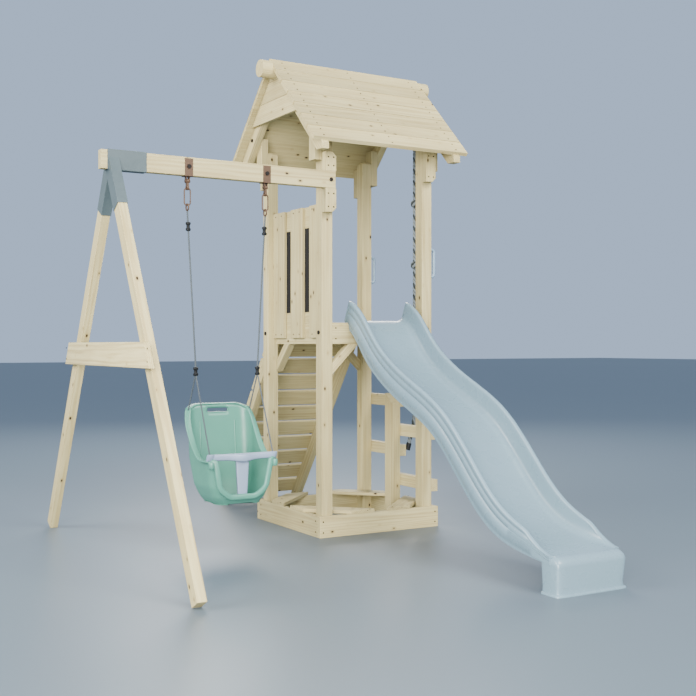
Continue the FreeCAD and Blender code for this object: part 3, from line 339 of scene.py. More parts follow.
def solid_of(name):
    """A node's mesh with its split corners joined and its flat faces made whole."""
    bm = bmesh.new()
    bm.from_mesh(frame["nodes"][name].data)
    bmesh.ops.remove_doubles(bm, verts=bm.verts, dist=2e-5)
    bmesh.ops.dissolve_limit(bm, angle_limit=math.radians(0.5), verts=bm.verts, edges=bm.edges)
    return bm


def islands(bm):
    """The separate solids of a mesh, as lists of faces, in the same order on every run."""
    left = dict.fromkeys(bm.faces)
    found = []
    while left:
        stack = [left.popitem()[0]]
        group = []
        while stack:
            face = stack.pop()
            group.append(face)
            for edge in face.edges:
                for other in edge.link_faces:
                    if other in left:
                        del left[other]
                        stack.append(other)
        found.append(group)
    return sorted(found, key=lambda faces: tuple(round(c, 4) for c in middle_of(faces)))


def middle_of(faces):
    """The middle of the corners of some faces."""
    corners = dict.fromkeys(vert for face in faces for vert in face.verts)
    return sum((vert.co for vert in corners), Vector()) / len(corners)


def middles_of(name):
    """The middles of a node's solids."""
    bm = solid_of(name)
    found = [middle_of(faces) for faces in islands(bm)]
    bm.free()
    return found


class Board:
    """A timber's own axes and size, measured from its faces."""

    def __init__(self, faces):
        edges = dict.fromkeys(edge for face in faces for edge in face.edges)
        longest = max(edges, key=lambda edge: edge.calc_length())
        self.grain = (longest.verts[1].co - longest.verts[0].co).normalized()
        if self.grain.dot(Vector((1, 0.9, 0.8))) < 0:
            self.grain.negate()
        beside = [face for face in faces if abs(face.normal.dot(self.grain)) < 0.2]
        self.face = max(beside, key=lambda face: face.calc_area()).normal.copy()
        self.wide = self.grain.cross(self.face).normalized()
        corners = [vert.co for face in faces for vert in face.verts]
        self.low = [min(corner.dot(axis) for corner in corners) for axis in self.axes()]
        self.high = [max(corner.dot(axis) for corner in corners) for axis in self.axes()]

    def axes(self):
        return self.grain, self.wide, self.face

    def point(self, along, wide, face):
        """A point from its distances along the board's own axes."""
        return self.grain * along + self.wide * wide + self.face * face

    def middle(self):
        return self.point(*((low + high) / 2 for low, high in zip(self.low, self.high)))


def boards_of(name):
    """The boards of a node."""
    bm = solid_of(name)
    found = [Board(faces) for faces in islands(bm)]
    bm.free()
    return found


def note_board(faces, board, layers, chance):
    """Write a board's grain, pith and tone on its faces' corners."""
    grain, pith, tone = layers
    reach = chance.uniform(0.03, 0.14)
    angle = chance.uniform(0, 2 * math.pi)
    heart = board.middle() + (board.wide * math.cos(angle) + board.face * math.sin(angle)) * reach
    heart += board.grain * chance.uniform(-9, 9)
    value = chance.random()
    for face in faces:
        for vert in face.verts:
            vert[grain] = board.grain
            vert[pith] = heart
            vert[tone] = value


def board_layers(bm):
    """The three notes that the wood's material reads."""
    layers = bm.verts.layers
    return (layers.float_vector.new("grain"), layers.float_vector.new("pith"),
            layers.float.new("board"))


def eased(bm, width):
    """Ease every sharp edge."""
    bm.normal_update()
    sharp = [edge for edge in bm.edges
             if len(edge.link_faces) == 2 and edge.calc_face_angle(0) > math.radians(35)]
    bmesh.ops.bevel(bm, geom=sharp, offset=width, segments=2, profile=0.5, affect="EDGES",
                    clamp_overlap=True)


def add_box(bm, board, low, high, width):
    """A board with eased edges between two corners in its own axes."""
    made = bmesh.ops.create_cube(bm, size=1)["verts"]
    size = [top - bottom for bottom, top in zip(low, high)]
    spot = board.point(*((bottom + top) / 2 for bottom, top in zip(low, high)))
    turn = Matrix([axis * length for axis, length in zip(board.axes(), size)]).transposed()
    for vert in made:
        vert.co = turn @ vert.co + spot
    edges = {edge for vert in made for edge in vert.link_edges}
    result = bmesh.ops.bevel(bm, geom=list(edges), offset=width, segments=2, profile=0.5,
                             affect="EDGES", clamp_overlap=True)
    return {face for vert in result["verts"] for face in vert.link_faces}


def add_screw(bm, spot, facing, radius):
    """A domed screw head with a sunk middle."""
    side = facing.orthogonal().normalized()
    other = facing.cross(side)
    loops = []
    for share, lift in ((1.0, -0.0004), (1.0, 0.0004), (0.75, 0.0011), (0.35, 0.0010),
                        (0.25, 0.0002)):
        loops.append([spot + facing * lift + side * x + other * y
                      for x, y in oval(radius * share, radius * share, 10)])
    sweep(bm, loops)


def screw_spots(board, facing, inset=0.022, at=None):
    """Where the screws sit on the side of a board that faces one way."""
    sign = 1 if board.face.dot(facing) > 0 else -1
    level = board.high[2] if sign > 0 else board.low[2]
    along = at or (board.low[0] + inset, board.high[0] - inset)
    width = board.high[1] - board.low[1]
    rows = (board.low[1] + 0.25 * width, board.high[1] - 0.25 * width)
    return [(board.point(a, w, level), board.face * sign) for a in along for w in rows]


def sweep(bm, loops, closed=False, material=0):
    """Skin a row of rings of points, joined end to end or shut at both ends."""
    rows = [[bm.verts.new(point) for point in loop] for loop in loops]
    pairs = list(zip(rows, rows[1:])) + ([(rows[-1], rows[0])] if closed else [])
    for below, above in pairs:
        for step in range(len(below)):
            after = (step + 1) % len(below)
            face = bm.faces.new((below[step], below[after], above[after], above[step]))
            face.material_index = material
    if not closed:
        for loop in (rows[0][::-1], rows[-1]):
            bm.faces.new(loop).material_index = material


def hoop(bm, line, outward, shape, material=0):
    """Sweep a shape round a closed line.  Both outward and shape are asked at each point."""
    loops = []
    for index, spot in enumerate(line):
        ahead = (line[(index + 1) % len(line)] - line[index - 1]).normalized()
        way = outward(spot)
        out = (way - ahead * way.dot(ahead)).normalized()
        over = ahead.cross(out)
        loops.append([spot + out * x + over * y for x, y in shape(spot)])
    sweep(bm, loops, closed=True, material=material)


def moulded(name, bm, materials, sharp):
    """A new piece with every face turned outwards."""
    bmesh.ops.recalc_face_normals(bm, faces=bm.faces)
    return new_piece(name, bm, materials, sharp)


def rings_along(line, shapes, up=UP):
    """Rings of points square to a line, from (across, up) shapes, without twisting."""
    loops = []
    before = up.copy()
    for index, (spot, shape) in enumerate(zip(line, shapes)):
        ahead = (line[min(index + 1, len(line) - 1)] - line[max(index - 1, 0)]).normalized()
        before = (before - ahead * before.dot(ahead)).normalized()
        side = ahead.cross(before)
        loops.append([spot + side * x + before * y for x, y in shape])
    return loops


def oval(wide, high, sides):
    """Points round an oval."""
    return [(wide * math.cos(math.tau * step / sides), high * math.sin(math.tau * step / sides))
            for step in range(sides)]


def squircle(wide, high, sides, power):
    """Points round a rounded rectangle."""
    points = []
    for step in range(sides):
        c, s = math.cos(math.tau * step / sides), math.sin(math.tau * step / sides)
        points.append((wide * math.copysign(abs(c) ** (2 / power), c),
                       high * math.copysign(abs(s) ** (2 / power), s)))
    return points


# ------------------------------------------------------------------------ timber
TIMBER = (
    "post_front_left", "post_back_left", "post_front_right", "post_back_right", "post_middle",
    "base_board_front", "base_board_back", "base_board_left", "base_board_right", "corner_seats",
    "fascia_front", "fascia_back", "fascia_left", "fascia_right", "floor_joists", "floor_boards",
    "knee_braces", "wall_slats", "wall_rails", "ridge_log", "rafters", "gable_boards",
    "post_blocks", "ramp_stringer_left", "ramp_stringer_right", "ramp_boards", "rungs",
    "swing_beam", "leg_front", "leg_back", "cross_board",
)
# Which way the screwed side of each board faces.
SCREWED = {
    "base_board_front": (0, -1, 0), "base_board_back": (0, 1, 0),
    "base_board_left": (-1, 0, 0), "base_board_right": (1, 0, 0), "corner_seats": (0, 0, 1),
    "fascia_front": (0, -1, 0), "fascia_back": (0, 1, 0), "fascia_right": (1, 0, 0),
    "floor_boards": (0, 0, 1), "wall_slats": (-1, 0, 0), "ramp_boards": (0, 0.6, 0.8),
    "rungs": (1, 0, 0), "cross_board": (-1, 0, 0),
}
# The height of the lower gable boards, and half the gap left above each.
GABLE_BOARD = 0.112
HALF_JOINT = 0.001


def sliced(bm, levels):
    """The solids between level cuts, a hair apart, as separate boards."""
    kept = bmesh.new()
    for low, high in zip(levels, levels[1:]):
        for faces in islands(bm):
            part = bmesh.new()
            copies = {}
            for face in faces:
                for vert in face.verts:
                    if vert not in copies:
                        copies[vert] = part.verts.new(vert.co)
                part.faces.new([copies[vert] for vert in face.verts])
            for height, way in ((low + HALF_JOINT, -1), (high - HALF_JOINT, 1)):
                everything = part.verts[:] + part.edges[:] + part.faces[:]
                cut = bmesh.ops.bisect_plane(part, geom=everything, plane_co=(0, 0, height),
                                             plane_no=(0, 0, way), clear_outer=True)
                rim = [item for item in cut["geom_cut"] if isinstance(item, bmesh.types.BMEdge)]
                bmesh.ops.contextual_create(part, geom=rim)
            mesh = bpy.data.meshes.new("slice")
            part.to_mesh(mesh)
            part.free()
            kept.from_mesh(mesh)
            bpy.data.meshes.remove(mesh)
    bm.free()
    bmesh.ops.recalc_face_normals(kept, faces=kept.faces)
    return kept


def timber_piece(name, timber, pine, chance):
    """A node's boards with eased edges, each with its own grain."""
    bm = solid_of(name)
    if name == "gable_boards":
        low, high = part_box(name)
        bm = sliced(bm, (low.z, low.z + GABLE_BOARD, low.z + 2 * GABLE_BOARD, high.z))
    layers = board_layers(bm)
    for faces in islands(bm):
        note_board(faces, Board(faces), layers, chance)
    eased(bm, timber.edge)
    return settle(new_piece(name + "_wood", bm, [pine]), name)


class PLAYTOWER_OT_timber(bpy.types.Operator):
    """Build the posts, boards, ramp, rungs and swing legs."""
    bl_idname = "playtower.timber"
    bl_label = "Timber"

    def execute(self, context):
        timber = context.scene.playtower_timber
        pine = pine_finish(timber)
        chance = random.Random(timber.seed)
        for name in TIMBER:
            timber_piece(name, timber, pine, chance)
        return {"FINISHED"}


class PLAYTOWER_OT_roof(bpy.types.Operator):
    """Lay the roof boards in courses from the ridge down to the eaves."""
    bl_idname = "playtower.roof"
    bl_label = "Roof boards"

    def execute(self, context):
        timber = context.scene.playtower_timber
        pine = bpy.data.materials["planed_pine"]
        chance = random.Random(timber.seed + 1)
        for name in ("roof_front", "roof_back"):
            slope = boards_of(name)[0]
            width = (slope.high[1] - slope.low[1]) / timber.courses
            bm = bmesh.new()
            layers = board_layers(bm)
            for index in range(timber.courses):
                near_edge = slope.low[1] + index * width
                low = (slope.low[0], near_edge + 0.002, slope.low[2])
                high = (slope.high[0], near_edge + width - 0.002, slope.high[2])
                note_board(add_box(bm, slope, low, high, 0.0025), slope, layers, chance)
            settle(new_piece(name + "_wood", bm, [pine]), name)
        return {"FINISHED"}


class PLAYTOWER_OT_screws(bpy.types.Operator):
    """Set the screw heads in the boards and along the posts and legs."""
    bl_idname = "playtower.screws"
    bl_label = "Screw heads"

    def execute(self, context):
        timber = context.scene.playtower_timber
        radius = timber.screw
        bm = bmesh.new()
        for name, facing in SCREWED.items():
            for board in boards_of(name):
                for spot, way in screw_spots(board, Vector(facing)):
                    add_screw(bm, spot, way, radius)
        low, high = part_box("rafters")
        lines = (low.x + 0.02, TOWER_MIDDLE.x, high.x - 0.02)
        for name, way in (("roof_front", (0, -1, 1)), ("roof_back", (0, 1, 1))):
            slope = boards_of(name)[0]
            width = (slope.high[1] - slope.low[1]) / timber.courses
            for index in range(timber.courses):
                course = copy.copy(slope)
                course.low = [slope.low[0], slope.low[1] + index * width, slope.low[2]]
                course.high = [slope.high[0], course.low[1] + width, slope.high[2]]
                for spot, out in screw_spots(course, Vector(way), at=lines):
                    add_screw(bm, spot, out, radius)
        for board in boards_of("post_blocks"):
            away = board.middle() - TOWER_MIDDLE
            for spot, out in screw_spots(board, Vector((0, away.y, 0)), inset=0.03):
                if abs(out.y) > 0.9:
                    add_screw(bm, spot, out, radius)
        dark = steel_finish("dark_screws", (0.006, 0.004, 0.003), 0.8, 0.0, 0.0)
        screws = new_piece("screw_heads", bm, [dark])
        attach(screws, "frame")
        return {"FINISHED"}


# ------------------------------------------------------------------------- slide
class PLAYTOWER_OT_slide(bpy.types.Operator):
    """Mould the slide: a rounded bed, rolled rims, grooved sides and a flared foot."""
    bl_idname = "playtower.slide"
    bl_label = "Slide"

    def execute(self, context):
        settings = context.scene.playtower_slide
        node = frame["nodes"]["slide"]
        low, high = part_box("slide")
        tree = BVHTree.FromPolygons([vert.co for vert in node.data.vertices],
                                    [tuple(face.vertices) for face in node.data.polygons])
        centre = (low.x + high.x) / 2
        half = (high.x - low.x) / 2

        def level(x, y, down=True):
            start = Vector((x, y, high.z + 1 if down else low.z - 1))
            hit = tree.ray_cast(start, Vector((0, 0, -1 if down else 1)))[0]
            return hit.z

        def section(y):
            bed = level(centre, y)
            rim = level(centre + half - 0.008, y)
            under = bed - shell if y < low.y + deep else level(centre + half - 0.03, y, False)
            wall, fillet, cut = 0.026, settings.fillet, settings.groove
            inner = half - wall
            rise = max((rim - bed) * min(1.0, (y - end) / fade), 0.002)
            rim = bed + rise
            roll = min(0.012, rise * 0.25)
            side = [(0.0, bed), (inner * 0.45, bed + 0.0005)]
            for step in range(6):
                angle = math.pi / 2 * step / 5
                side.append((inner - fillet + fillet * math.sin(angle),
                             bed + min(fillet, rise * 0.6) * (1 - math.cos(angle)) + 0.0005))
            side.append((inner + 0.002, rim - rise * 0.28))
            for step in range(5):
                angle = math.pi - math.pi * step / 4
                side.append((half - wall / 2 + (wall / 2 - 0.001) * math.cos(angle),
                             rim - roll + roll * math.sin(angle)))
            depth = rim - under
            for share, inset in ((0.16, 0.0), (0.19, 1.0), (0.24, 1.0), (0.27, 0.2), (0.40, 0.2),
                                 (0.42, 1.0), (0.45, 1.0), (0.47, 0.2), (0.80, 0.2), (0.84, 1.4),
                                 (0.92, 1.4)):
                side.append((half - 0.001 - cut * inset, rim - depth * share))
            side.append((half - 0.004 - cut, under + 0.003))
            side.append((half - 0.030, under))
            side.append((half * 0.5, under))
            points = [(centre + x, z) for x, z in side]
            other = [(centre - x, z) for x, z in side[:0:-1]]
            return [Vector((x, y, z)) for x, z in points + other]

        deep, shell, fade = 0.125, 0.045, 0.16
        end = low.y + 0.060
        top = high.y - 0.004
        count = int((top - end) / settings.step)
        loops = [section(top + (end - top) * step / count) for step in range(count + 1)]
        bm = bmesh.new()
        sweep(bm, loops)
        foot = []
        lip = level(centre, low.y + 0.06)
        levels = [(0.0, 0.0, 0.0), (0.005, 0.0, 0.0), (0.008, 0.002, 0.002), (0.011, 0.009, 0.010),
                  (0.030, 0.011, 0.012)]
        bend = 0.042
        for step in range(7):
            angle = math.pi / 2 * step / 6
            levels.append((lip + 0.001 - bend + bend * math.sin(angle),
                           0.004 + bend * 0.6 * (1 - math.cos(angle)),
                           0.003 + bend * (1 - math.cos(angle))))
        levels.append((lip + 0.001, 0.120, 0.080))
        for z, out, back in levels:
            shape = squircle(half - out, (deep - back) / 2, 48, 10.0)
            foot.append([Vector((centre + x, low.y + (deep + back) / 2 + y, z)) for x, y in shape])
        sweep(bm, foot)
        tint = plastic_finish("slide_plastic", settings.tint, 0.28)
        settle(moulded("slide_moulding", bm, [tint], 50), "slide")
        return {"FINISHED"}


# -------------------------------------------------------------------------- seat
SEAT_LEVELS = (  # height over the seat's foot, half width, front, back, corner radius
    (0.000, 0.126, 0.178, 0.060, 0.055), (0.030, 0.146, 0.196, 0.076, 0.058),
    (0.085, 0.168, 0.203, 0.094, 0.060), (0.220, 0.186, 0.211, 0.116, 0.062),
    (0.370, 0.187, 0.211, 0.128, 0.064), (0.502, 0.182, 0.211, 0.137, 0.066),
)
LEG_HOLE_HALF = 0.150
LEG_HOLE_CORNER = 0.075
LIP_RISE = 0.034
SIDE_RISE = 0.220
FRONT_WALL = -0.13  # the wall in front of this line is the seat's front
FRONT_ROPE_SIDE = 0.177  # from the seat's middle out to each front rope
FRONT_ROPE_FOOT = -0.206  # from the swing's hanging line to the foot of each front rope


def seat_outline(rise):
    """Half width, front, back and corner radius of the seat at a height over its foot."""
    low, high = next(pair for pair in zip(SEAT_LEVELS, SEAT_LEVELS[1:])
                     if rise <= pair[1][0] or pair[1] is SEAT_LEVELS[-1])
    share = min(1.0, (rise - low[0]) / (high[0] - low[0]))
    return [a + (b - a) * share for a, b in zip(low[1:], high[1:])]


def seat_point(turn, rise):
    """A point of the seat's wall.  Turn goes from 0 at the front middle round to 1."""
    half, front, back, corner = seat_outline(rise)
    share = min(turn, 1 - turn) * 10
    run = min(int(share), 4)
    part = share - run
    angle = part * math.pi / 2
    if run == 0:
        x, y = part * (half - corner), -front
    elif run == 1:
        x = half - corner + corner * math.sin(angle)
        y = -front + corner - corner * math.cos(angle)
    elif run == 2:
        x, y = half, -front + corner + part * (front + back - 2 * corner)
    elif run == 3:
        x = half - corner + corner * math.cos(angle)
        y = back - corner + corner * math.sin(angle)
    else:
        x, y = (half - corner) * (1 - part), back
    if turn > 0.5:
        x = -x
    return Vector((x, y, rise))


def seat_edge(turn, full_height):
    """How high the seat's wall goes at a turn."""
    spot = seat_point(turn, SIDE_RISE)
    x, y = abs(spot.x), spot.y
    if y < -0.12 and x < LEG_HOLE_HALF:
        over = max(0.0, x - LEG_HOLE_HALF + LEG_HOLE_CORNER)
        return LIP_RISE + LEG_HOLE_CORNER - math.sqrt(max(0.0, LEG_HOLE_CORNER ** 2 - over ** 2))
    share = max(0.0, min(1.0, (y + 0.11) / 0.20))
    sweep_up = share ** 1.8
    crown = 1 - max(0.0, (x - 0.10) / 0.09) ** 2 * 0.07 if y > 0.06 else 0.93
    return SIDE_RISE + (full_height * crown - SIDE_RISE) * sweep_up


class PLAYTOWER_OT_seat(bpy.types.Operator):
    """Mould the bucket seat, its slot and its rolled edges."""
    bl_idname = "playtower.seat"
    bl_label = "Seat"

    def execute(self, context):
        swing = context.scene.playtower_swing
        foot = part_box("seat_shell")[0].z
        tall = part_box("seat_shell")[1].z - foot - 0.008
        origin = Vector((SEAT_MIDDLE.x, SWING_LINE, foot))
        mint = plastic_finish("seat_plastic", swing.shell, 0.36)
        around, up = 120, 22
        turns = [step / around for step in range(around)]
        edges = [seat_edge(turn, tall) for turn in turns]
        bm = bmesh.new()
        rows = [[bm.verts.new(origin + seat_point(turn, edge * level / up))
                 for turn, edge in zip(turns, edges)] for level in range(up + 1)]
        slot_low, slot_high = tall - 0.044, tall - 0.018
        for below, above in zip(rows, rows[1:]):
            for step in range(around):
                after = (step + 1) % around
                corners = (below[step], below[after], above[after], above[step])
                spot = sum((vert.co for vert in corners), Vector()) / 4 - origin
                if spot.y > 0.09 and abs(spot.x) < 0.062 and slot_low < spot.z < slot_high:
                    continue
                bm.faces.new(corners)
        bottom = bm.faces.new(rows[0][::-1])
        bmesh.ops.inset_region(bm, faces=[bottom], thickness=0.03, depth=0.006)
        shell = moulded("seat_moulding", bm, [mint], 80)
        thick = shell.modifiers.new("wall", "SOLIDIFY")
        thick.thickness = swing.wall
        thick.offset = -1
        self.bake(shell)
        settle(shell, "seat_shell")

        bm = bmesh.new()
        line = [origin + seat_point(turn, edge) for turn, edge in zip(turns, edges)]

        def outward(spot):
            flat = Vector((spot.x - origin.x, spot.y - origin.y, 0)).normalized()
            if spot.y - origin.y < FRONT_WALL:
                flat = (flat * 0.35 + Vector((0, -1, 0))).normalized()
            return flat

        def roll(spot):
            front = spot.y - origin.y < FRONT_WALL and abs(spot.x - origin.x) < 0.175
            wide = swing.roll * (1.0 if front else 1.35)
            high = swing.roll * 1.3 if front else 0.0048
            return [(x + wide * 0.25, y) for x, y in squircle(wide, high, 14, 2.6)]

        hoop(bm, line, outward, roll)
        for sign in (-1, 1):
            stem = []
            for rise, wide in ((0.0, 0.012), (0.004, 0.0155), (0.031, 0.0155), (0.0355, 0.013)):
                stem.append([origin + Vector((sign * FRONT_ROPE_SIDE + x, FRONT_ROPE_FOOT + y,
                                              0.184 + rise)) for x, y in oval(wide, wide, 16)])
            sweep(bm, stem)
        for sign in (-1, 1):
            x0 = sign * 0.10
            rib = []
            for step in range(13):
                rise = 0.02 + (tall - 0.11) * step / 12
                back = seat_outline(rise)[2]
                rib.append([origin + Vector((x0 + x, back - 0.002 + y, rise))
                            for x, y in oval(0.006, 0.007, 8)])
            sweep(bm, rib)
        slot = origin + Vector((0, 0.133, (slot_low + slot_high) / 2))
        line = [slot + Vector((x, 0, z)) for x, z in squircle(0.064, 0.014, 28, 5.0)]
        loops = []
        for spot in line:
            out = (spot - slot).normalized()
            loops.append([spot + out * x + Vector((0, y, 0)) for x, y in oval(0.004, 0.007, 8)])
        sweep(bm, loops, closed=True)
        rim = moulded("seat_rolled_edge", bm, [mint], 60)
        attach(rim, "swing")
        return {"FINISHED"}

    def bake(self, item):
        """Apply a piece's modifiers to its mesh."""
        graph = bpy.context.evaluated_depsgraph_get()
        mesh = bpy.data.meshes.new_from_object(item.evaluated_get(graph))
        item.modifiers.clear()
        item.data = mesh


class PLAYTOWER_OT_bar(bpy.types.Operator):
    """Mould the T-shaped safety bar with its shaped middle and its guide rings."""
    bl_idname = "playtower.bar"
    bl_label = "Safety bar"

    def execute(self, context):
        swing = context.scene.playtower_swing
        low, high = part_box("safety_bar")
        middle = (low + high) / 2
        rail = high.z - 0.018
        bm = bmesh.new()
        line, shapes = [], []
        reach = (high.x - low.x) / 2 - 0.020
        for step in range(41):
            share = -1 + 2 * step / 40
            bulge = math.exp(-(share / 0.30) ** 2)
            wide = 0.014 + 0.013 * bulge
            tall = 0.0165 + 0.006 * bulge
            line.append(Vector((middle.x + share * reach, middle.y - 0.006 * bulge,
                                rail - 0.006 * bulge)))
            shapes.append(squircle(wide, tall, 20, 3.2))
        sweep(bm, rings_along(line, shapes))
        for sign in (-1, 1):
            guide = []
            for inner, rise in ((0.0058, -0.017), (0.017, -0.017), (0.019, -0.013), (0.019, 0.013),
                                (0.017, 0.017), (0.0058, 0.017)):
                guide.append([Vector((middle.x + sign * FRONT_ROPE_SIDE + x,
                                      middle.y + y - rise * 0.48, rail + rise))
                              for x, y in oval(inner, inner, 20)])
            sweep(bm, guide, closed=True)
        post = []
        count = 14
        for step in range(count + 1):
            share = step / count
            z = low.z + 0.001 + (rail - 0.012 - low.z) * share
            wide = 0.026 + 0.011 * share
            thick = 0.0095 + 0.001 * share
            if step == 0:
                wide, thick = wide - 0.005, thick - 0.004
            post.append([Vector((middle.x + x, middle.y + y, z))
                         for x, y in squircle(wide, thick, 28, 3.6)])
        sweep(bm, post)
        grey = plastic_finish("bar_plastic", swing.bar, 0.36)
        settle(moulded("safety_bar_moulding", bm, [grey], 50), "safety_bar")
        return {"FINISHED"}


# ------------------------------------------------------------------------- ropes
def smooth_line(name, points):
    """The line that a rope's route takes, as a NURBS curve draws it."""
    curve = bpy.data.curves.new(name + "_route", "CURVE")
    curve.dimensions = "3D"
    curve.resolution_u = 16
    spline = curve.splines.new("NURBS")
    spline.points.add(len(points) - 1)
    for point, spot in zip(spline.points, points):
        point.co = (*spot, 1)
    spline.order_u = 3
    spline.use_endpoint_u = True
    route = bpy.data.objects.new(name + "_route", curve)
    bpy.context.scene.collection.objects.link(route)
    mesh = bpy.data.meshes.new_from_object(route)
    line = [vert.co.copy() for vert in mesh.vertices]
    bpy.data.objects.remove(route)
    bpy.data.curves.remove(curve)
    bpy.data.meshes.remove(mesh)
    return line


def spaced(line, step):
    """The same line with evenly spaced points."""
    reach = [0.0]
    for near, far in zip(line, line[1:]):
        reach.append(reach[-1] + (far - near).length)
    count = max(2, round(reach[-1] / step))
    points, index = [], 0
    for number in range(count + 1):
        want = reach[-1] * number / count
        while index < len(line) - 2 and reach[index + 1] < want:
            index += 1
        share = (want - reach[index]) / (reach[index + 1] - reach[index])
        points.append(line[index].lerp(line[index + 1], min(1.0, share)))
    return points, reach[-1]


def laid_rope(name, points, diameter, lay, colours, sides):
    """A laid rope of three strands along a smooth route."""
    steps = 12
    line, reach = spaced(smooth_line(name, points), lay / steps)
    sideways = UP.orthogonal() + Vector((0.01, 0.02, 0))
    centre = rings_along(line, [oval(1, 1, 4)] * len(line), sideways)
    strand = diameter / 2 * 0.464
    offset = diameter / 2 - strand
    bm = bmesh.new()
    for number in range(3):
        path = []
        for index, (spot, ring) in enumerate(zip(line, centre)):
            turn = math.tau * (number / 3 + index / steps)
            side, over = ring[0] - spot, ring[1] - spot
            path.append(spot + (side * math.cos(turn) + over * math.sin(turn)) * offset)
        rings = rings_along(path, [oval(strand, strand, sides)] * len(path), Vector((0.2, 1, 0.1)))
        sweep(bm, rings, material=min(number, len(colours) - 1))
    return new_piece(name, bm, colours, 60), line, reach


# How far the top and the foot of each short rope are from the swing's hanging line.
SHORT_ROPES = (("back", 0.004, 0.100), ("front", -0.004, FRONT_ROPE_FOOT))


class PLAYTOWER_OT_ropes(bpy.types.Operator):
    """Lay the swing's two ropes and four short ropes."""
    bl_idname = "playtower.ropes"
    bl_label = "Swing ropes"

    def execute(self, context):
        rope = context.scene.playtower_rope
        grey = fibre_finish("swing_rope_fibre", rope.grey)
        ring_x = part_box("swing_rings")[1].x - 0.004 - SEAT_MIDDLE.x
        foot_x = (sum(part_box("rope_back_right"), Vector()) / 2).x - SEAT_MIDDLE.x
        low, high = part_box("rope_main_left")
        for sign, word in ((-1, "left"), (1, "right")):
            top = Vector((SEAT_MIDDLE.x + sign * ring_x, SWING_LINE, high.z))
            split = Vector((SEAT_MIDDLE.x + sign * foot_x, SWING_LINE, low.z))
            ends = {"main": (top, split, rope.thin)}
            for part, near, far in SHORT_ROPES:
                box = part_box(f"rope_{part}_{word}")
                ends[part] = (Vector((split.x, SWING_LINE + near, box[1].z - 0.001)),
                              Vector((split.x, SWING_LINE + far, box[0].z + 0.001)), rope.strand)
            for part, (start, end, size) in ends.items():
                name = f"rope_{part}_{word}"
                piece, line, reach = laid_rope(name + "_laid", [start, start.lerp(end, 0.5), end],
                                               size, size * 3.2, [grey], 6)
                settle(piece, name)
        return {"FINISHED"}


KNOT = 0.0125  # how far a knot's strands run from its middle


class PLAYTOWER_OT_climbing_rope(bpy.types.Operator):
    """Lay the climbing rope and tie its knots."""
    bl_idname = "playtower.climbing_rope"
    bl_label = "Climbing rope"

    def execute(self, context):
        rope = context.scene.playtower_rope
        pale = fibre_finish("pale_strand", rope.pale)
        dark = fibre_finish("dark_strand", rope.dark)
        low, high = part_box("climbing_rope")
        line_x = high.x - rope.thick / 2
        line_y = (low.y + high.y) / 2
        bottom = low.z + 0.012
        bend = bottom + 0.160
        points = [Vector((line_x, line_y, z))
                  for z in (high.z, 1.9, 1.2, bend + 0.10, bend + 0.02)]
        points += [Vector((line_x - 0.012, line_y, bend - 0.045)),
                   Vector((line_x - 0.045, line_y, bottom))]
        piece, line, reach = laid_rope("climbing_rope_laid", points, rope.thick, 0.072,
                                       [pale, dark, pale], 10)
        settle(piece, "climbing_rope")

        bm = bmesh.new()
        for centre in middles_of("climbing_knots"):
            centre.x, centre.y = line_x, line_y
            for number, (ahead, strand) in enumerate(((0.0, 0.0095), (1.0, 0.0092))):
                path = []
                for step in range(60):
                    turn = math.tau * step / 60
                    wide = KNOT * (1 + 0.35 * math.cos(3 * turn))
                    path.append(centre + Vector((wide * math.cos(2 * turn + ahead),
                                                 wide * math.sin(2 * turn + ahead),
                                                 KNOT * math.sin(3 * turn))))
                hoop(bm, path, lambda spot: spot - centre, lambda spot: oval(strand, strand, 10),
                     number)
        tied = settle(moulded("climbing_knots_tied", bm, [pale, dark], 60), "climbing_knots")
        return {"FINISHED"}


# ------------------------------------------------------------- fittings and steel
class PLAYTOWER_OT_fittings(bpy.types.Operator):
    """Finish the corner bracket, the hangers, the links and the small plastic parts."""
    bl_idname = "playtower.fittings"
    bl_label = "Fittings"

    def execute(self, context):
        swing = context.scene.playtower_swing
        bracket = steel_finish("bracket_steel", (0.060, 0.086, 0.096), 0.46, 0.0, 0.35)
        bronze = steel_finish("bronze_steel", (0.085, 0.050, 0.030), 0.45, 0.2, 0.3)
        zinc = steel_finish("zinc_steel", (0.25, 0.26, 0.27), 0.38, 0.8)
        dark = steel_finish("dark_steel", (0.012, 0.010, 0.009), 0.6, 0.0, 0.15)
        black = plastic_finish("black_plastic", (0.006, 0.007, 0.008), 0.55, 0.2)
        # A black sheet for the backing behind the gaps in the wall slats: painted shade, standing
        # in for the shaded inside of the tower.
        shade_sheet = plastic_finish("black_sheet", (0.008, 0.008, 0.009), 0.7, 0.2)
        blue = plastic_finish("handle_plastic", swing.handle, 0.34)
        bm = solid_of("corner_bracket")
        eased(bm, 0.0012)
        settle(new_piece("corner_bracket_steel", bm, [bracket], 12), "corner_bracket")
        for word in ("left", "right"):
            bm = solid_of(f"hanger_{word}")
            eased(bm, 0.0008)
            settle(new_piece(f"hanger_{word}_steel", bm, [bronze]), f"hanger_{word}")
        bm = bmesh.new()
        half = ((0.003, 0.0090), (0.008, 0.0095), (0.012, 0.0135), (0.021, 0.0125),
                (0.0235, 0.008))
        waisted = [(-rise, wide) for rise, wide in half[::-1]] + list(half)
        for spot in middles_of("rope_adjusters"):
            sweep(bm, [[spot + Vector((x, y, rise))
                        for x, y in squircle(wide, wide * 0.72, 20, 2.6)]
                       for rise, wide in waisted])
        settle(moulded("rope_adjusters_moulded", bm, [black], 40), "rope_adjusters")
        dress(("hanger_pins", "swing_eyes", "carabiners", "carabiner_gate_left",
               "carabiner_gate_right", "swing_rings"), bronze)
        dress(("rope_hook", "rope_thimble"), zinc)
        dress(("bolt_heads",), dark)
        dress(("rope_end_cap",), black)
        # The wall backing gets the black sheet, which is painted shade behind the slat gaps.
        dress(("wall_backing",), shade_sheet)
        dress(("handles",), blue)
        return {"FINISHED"}


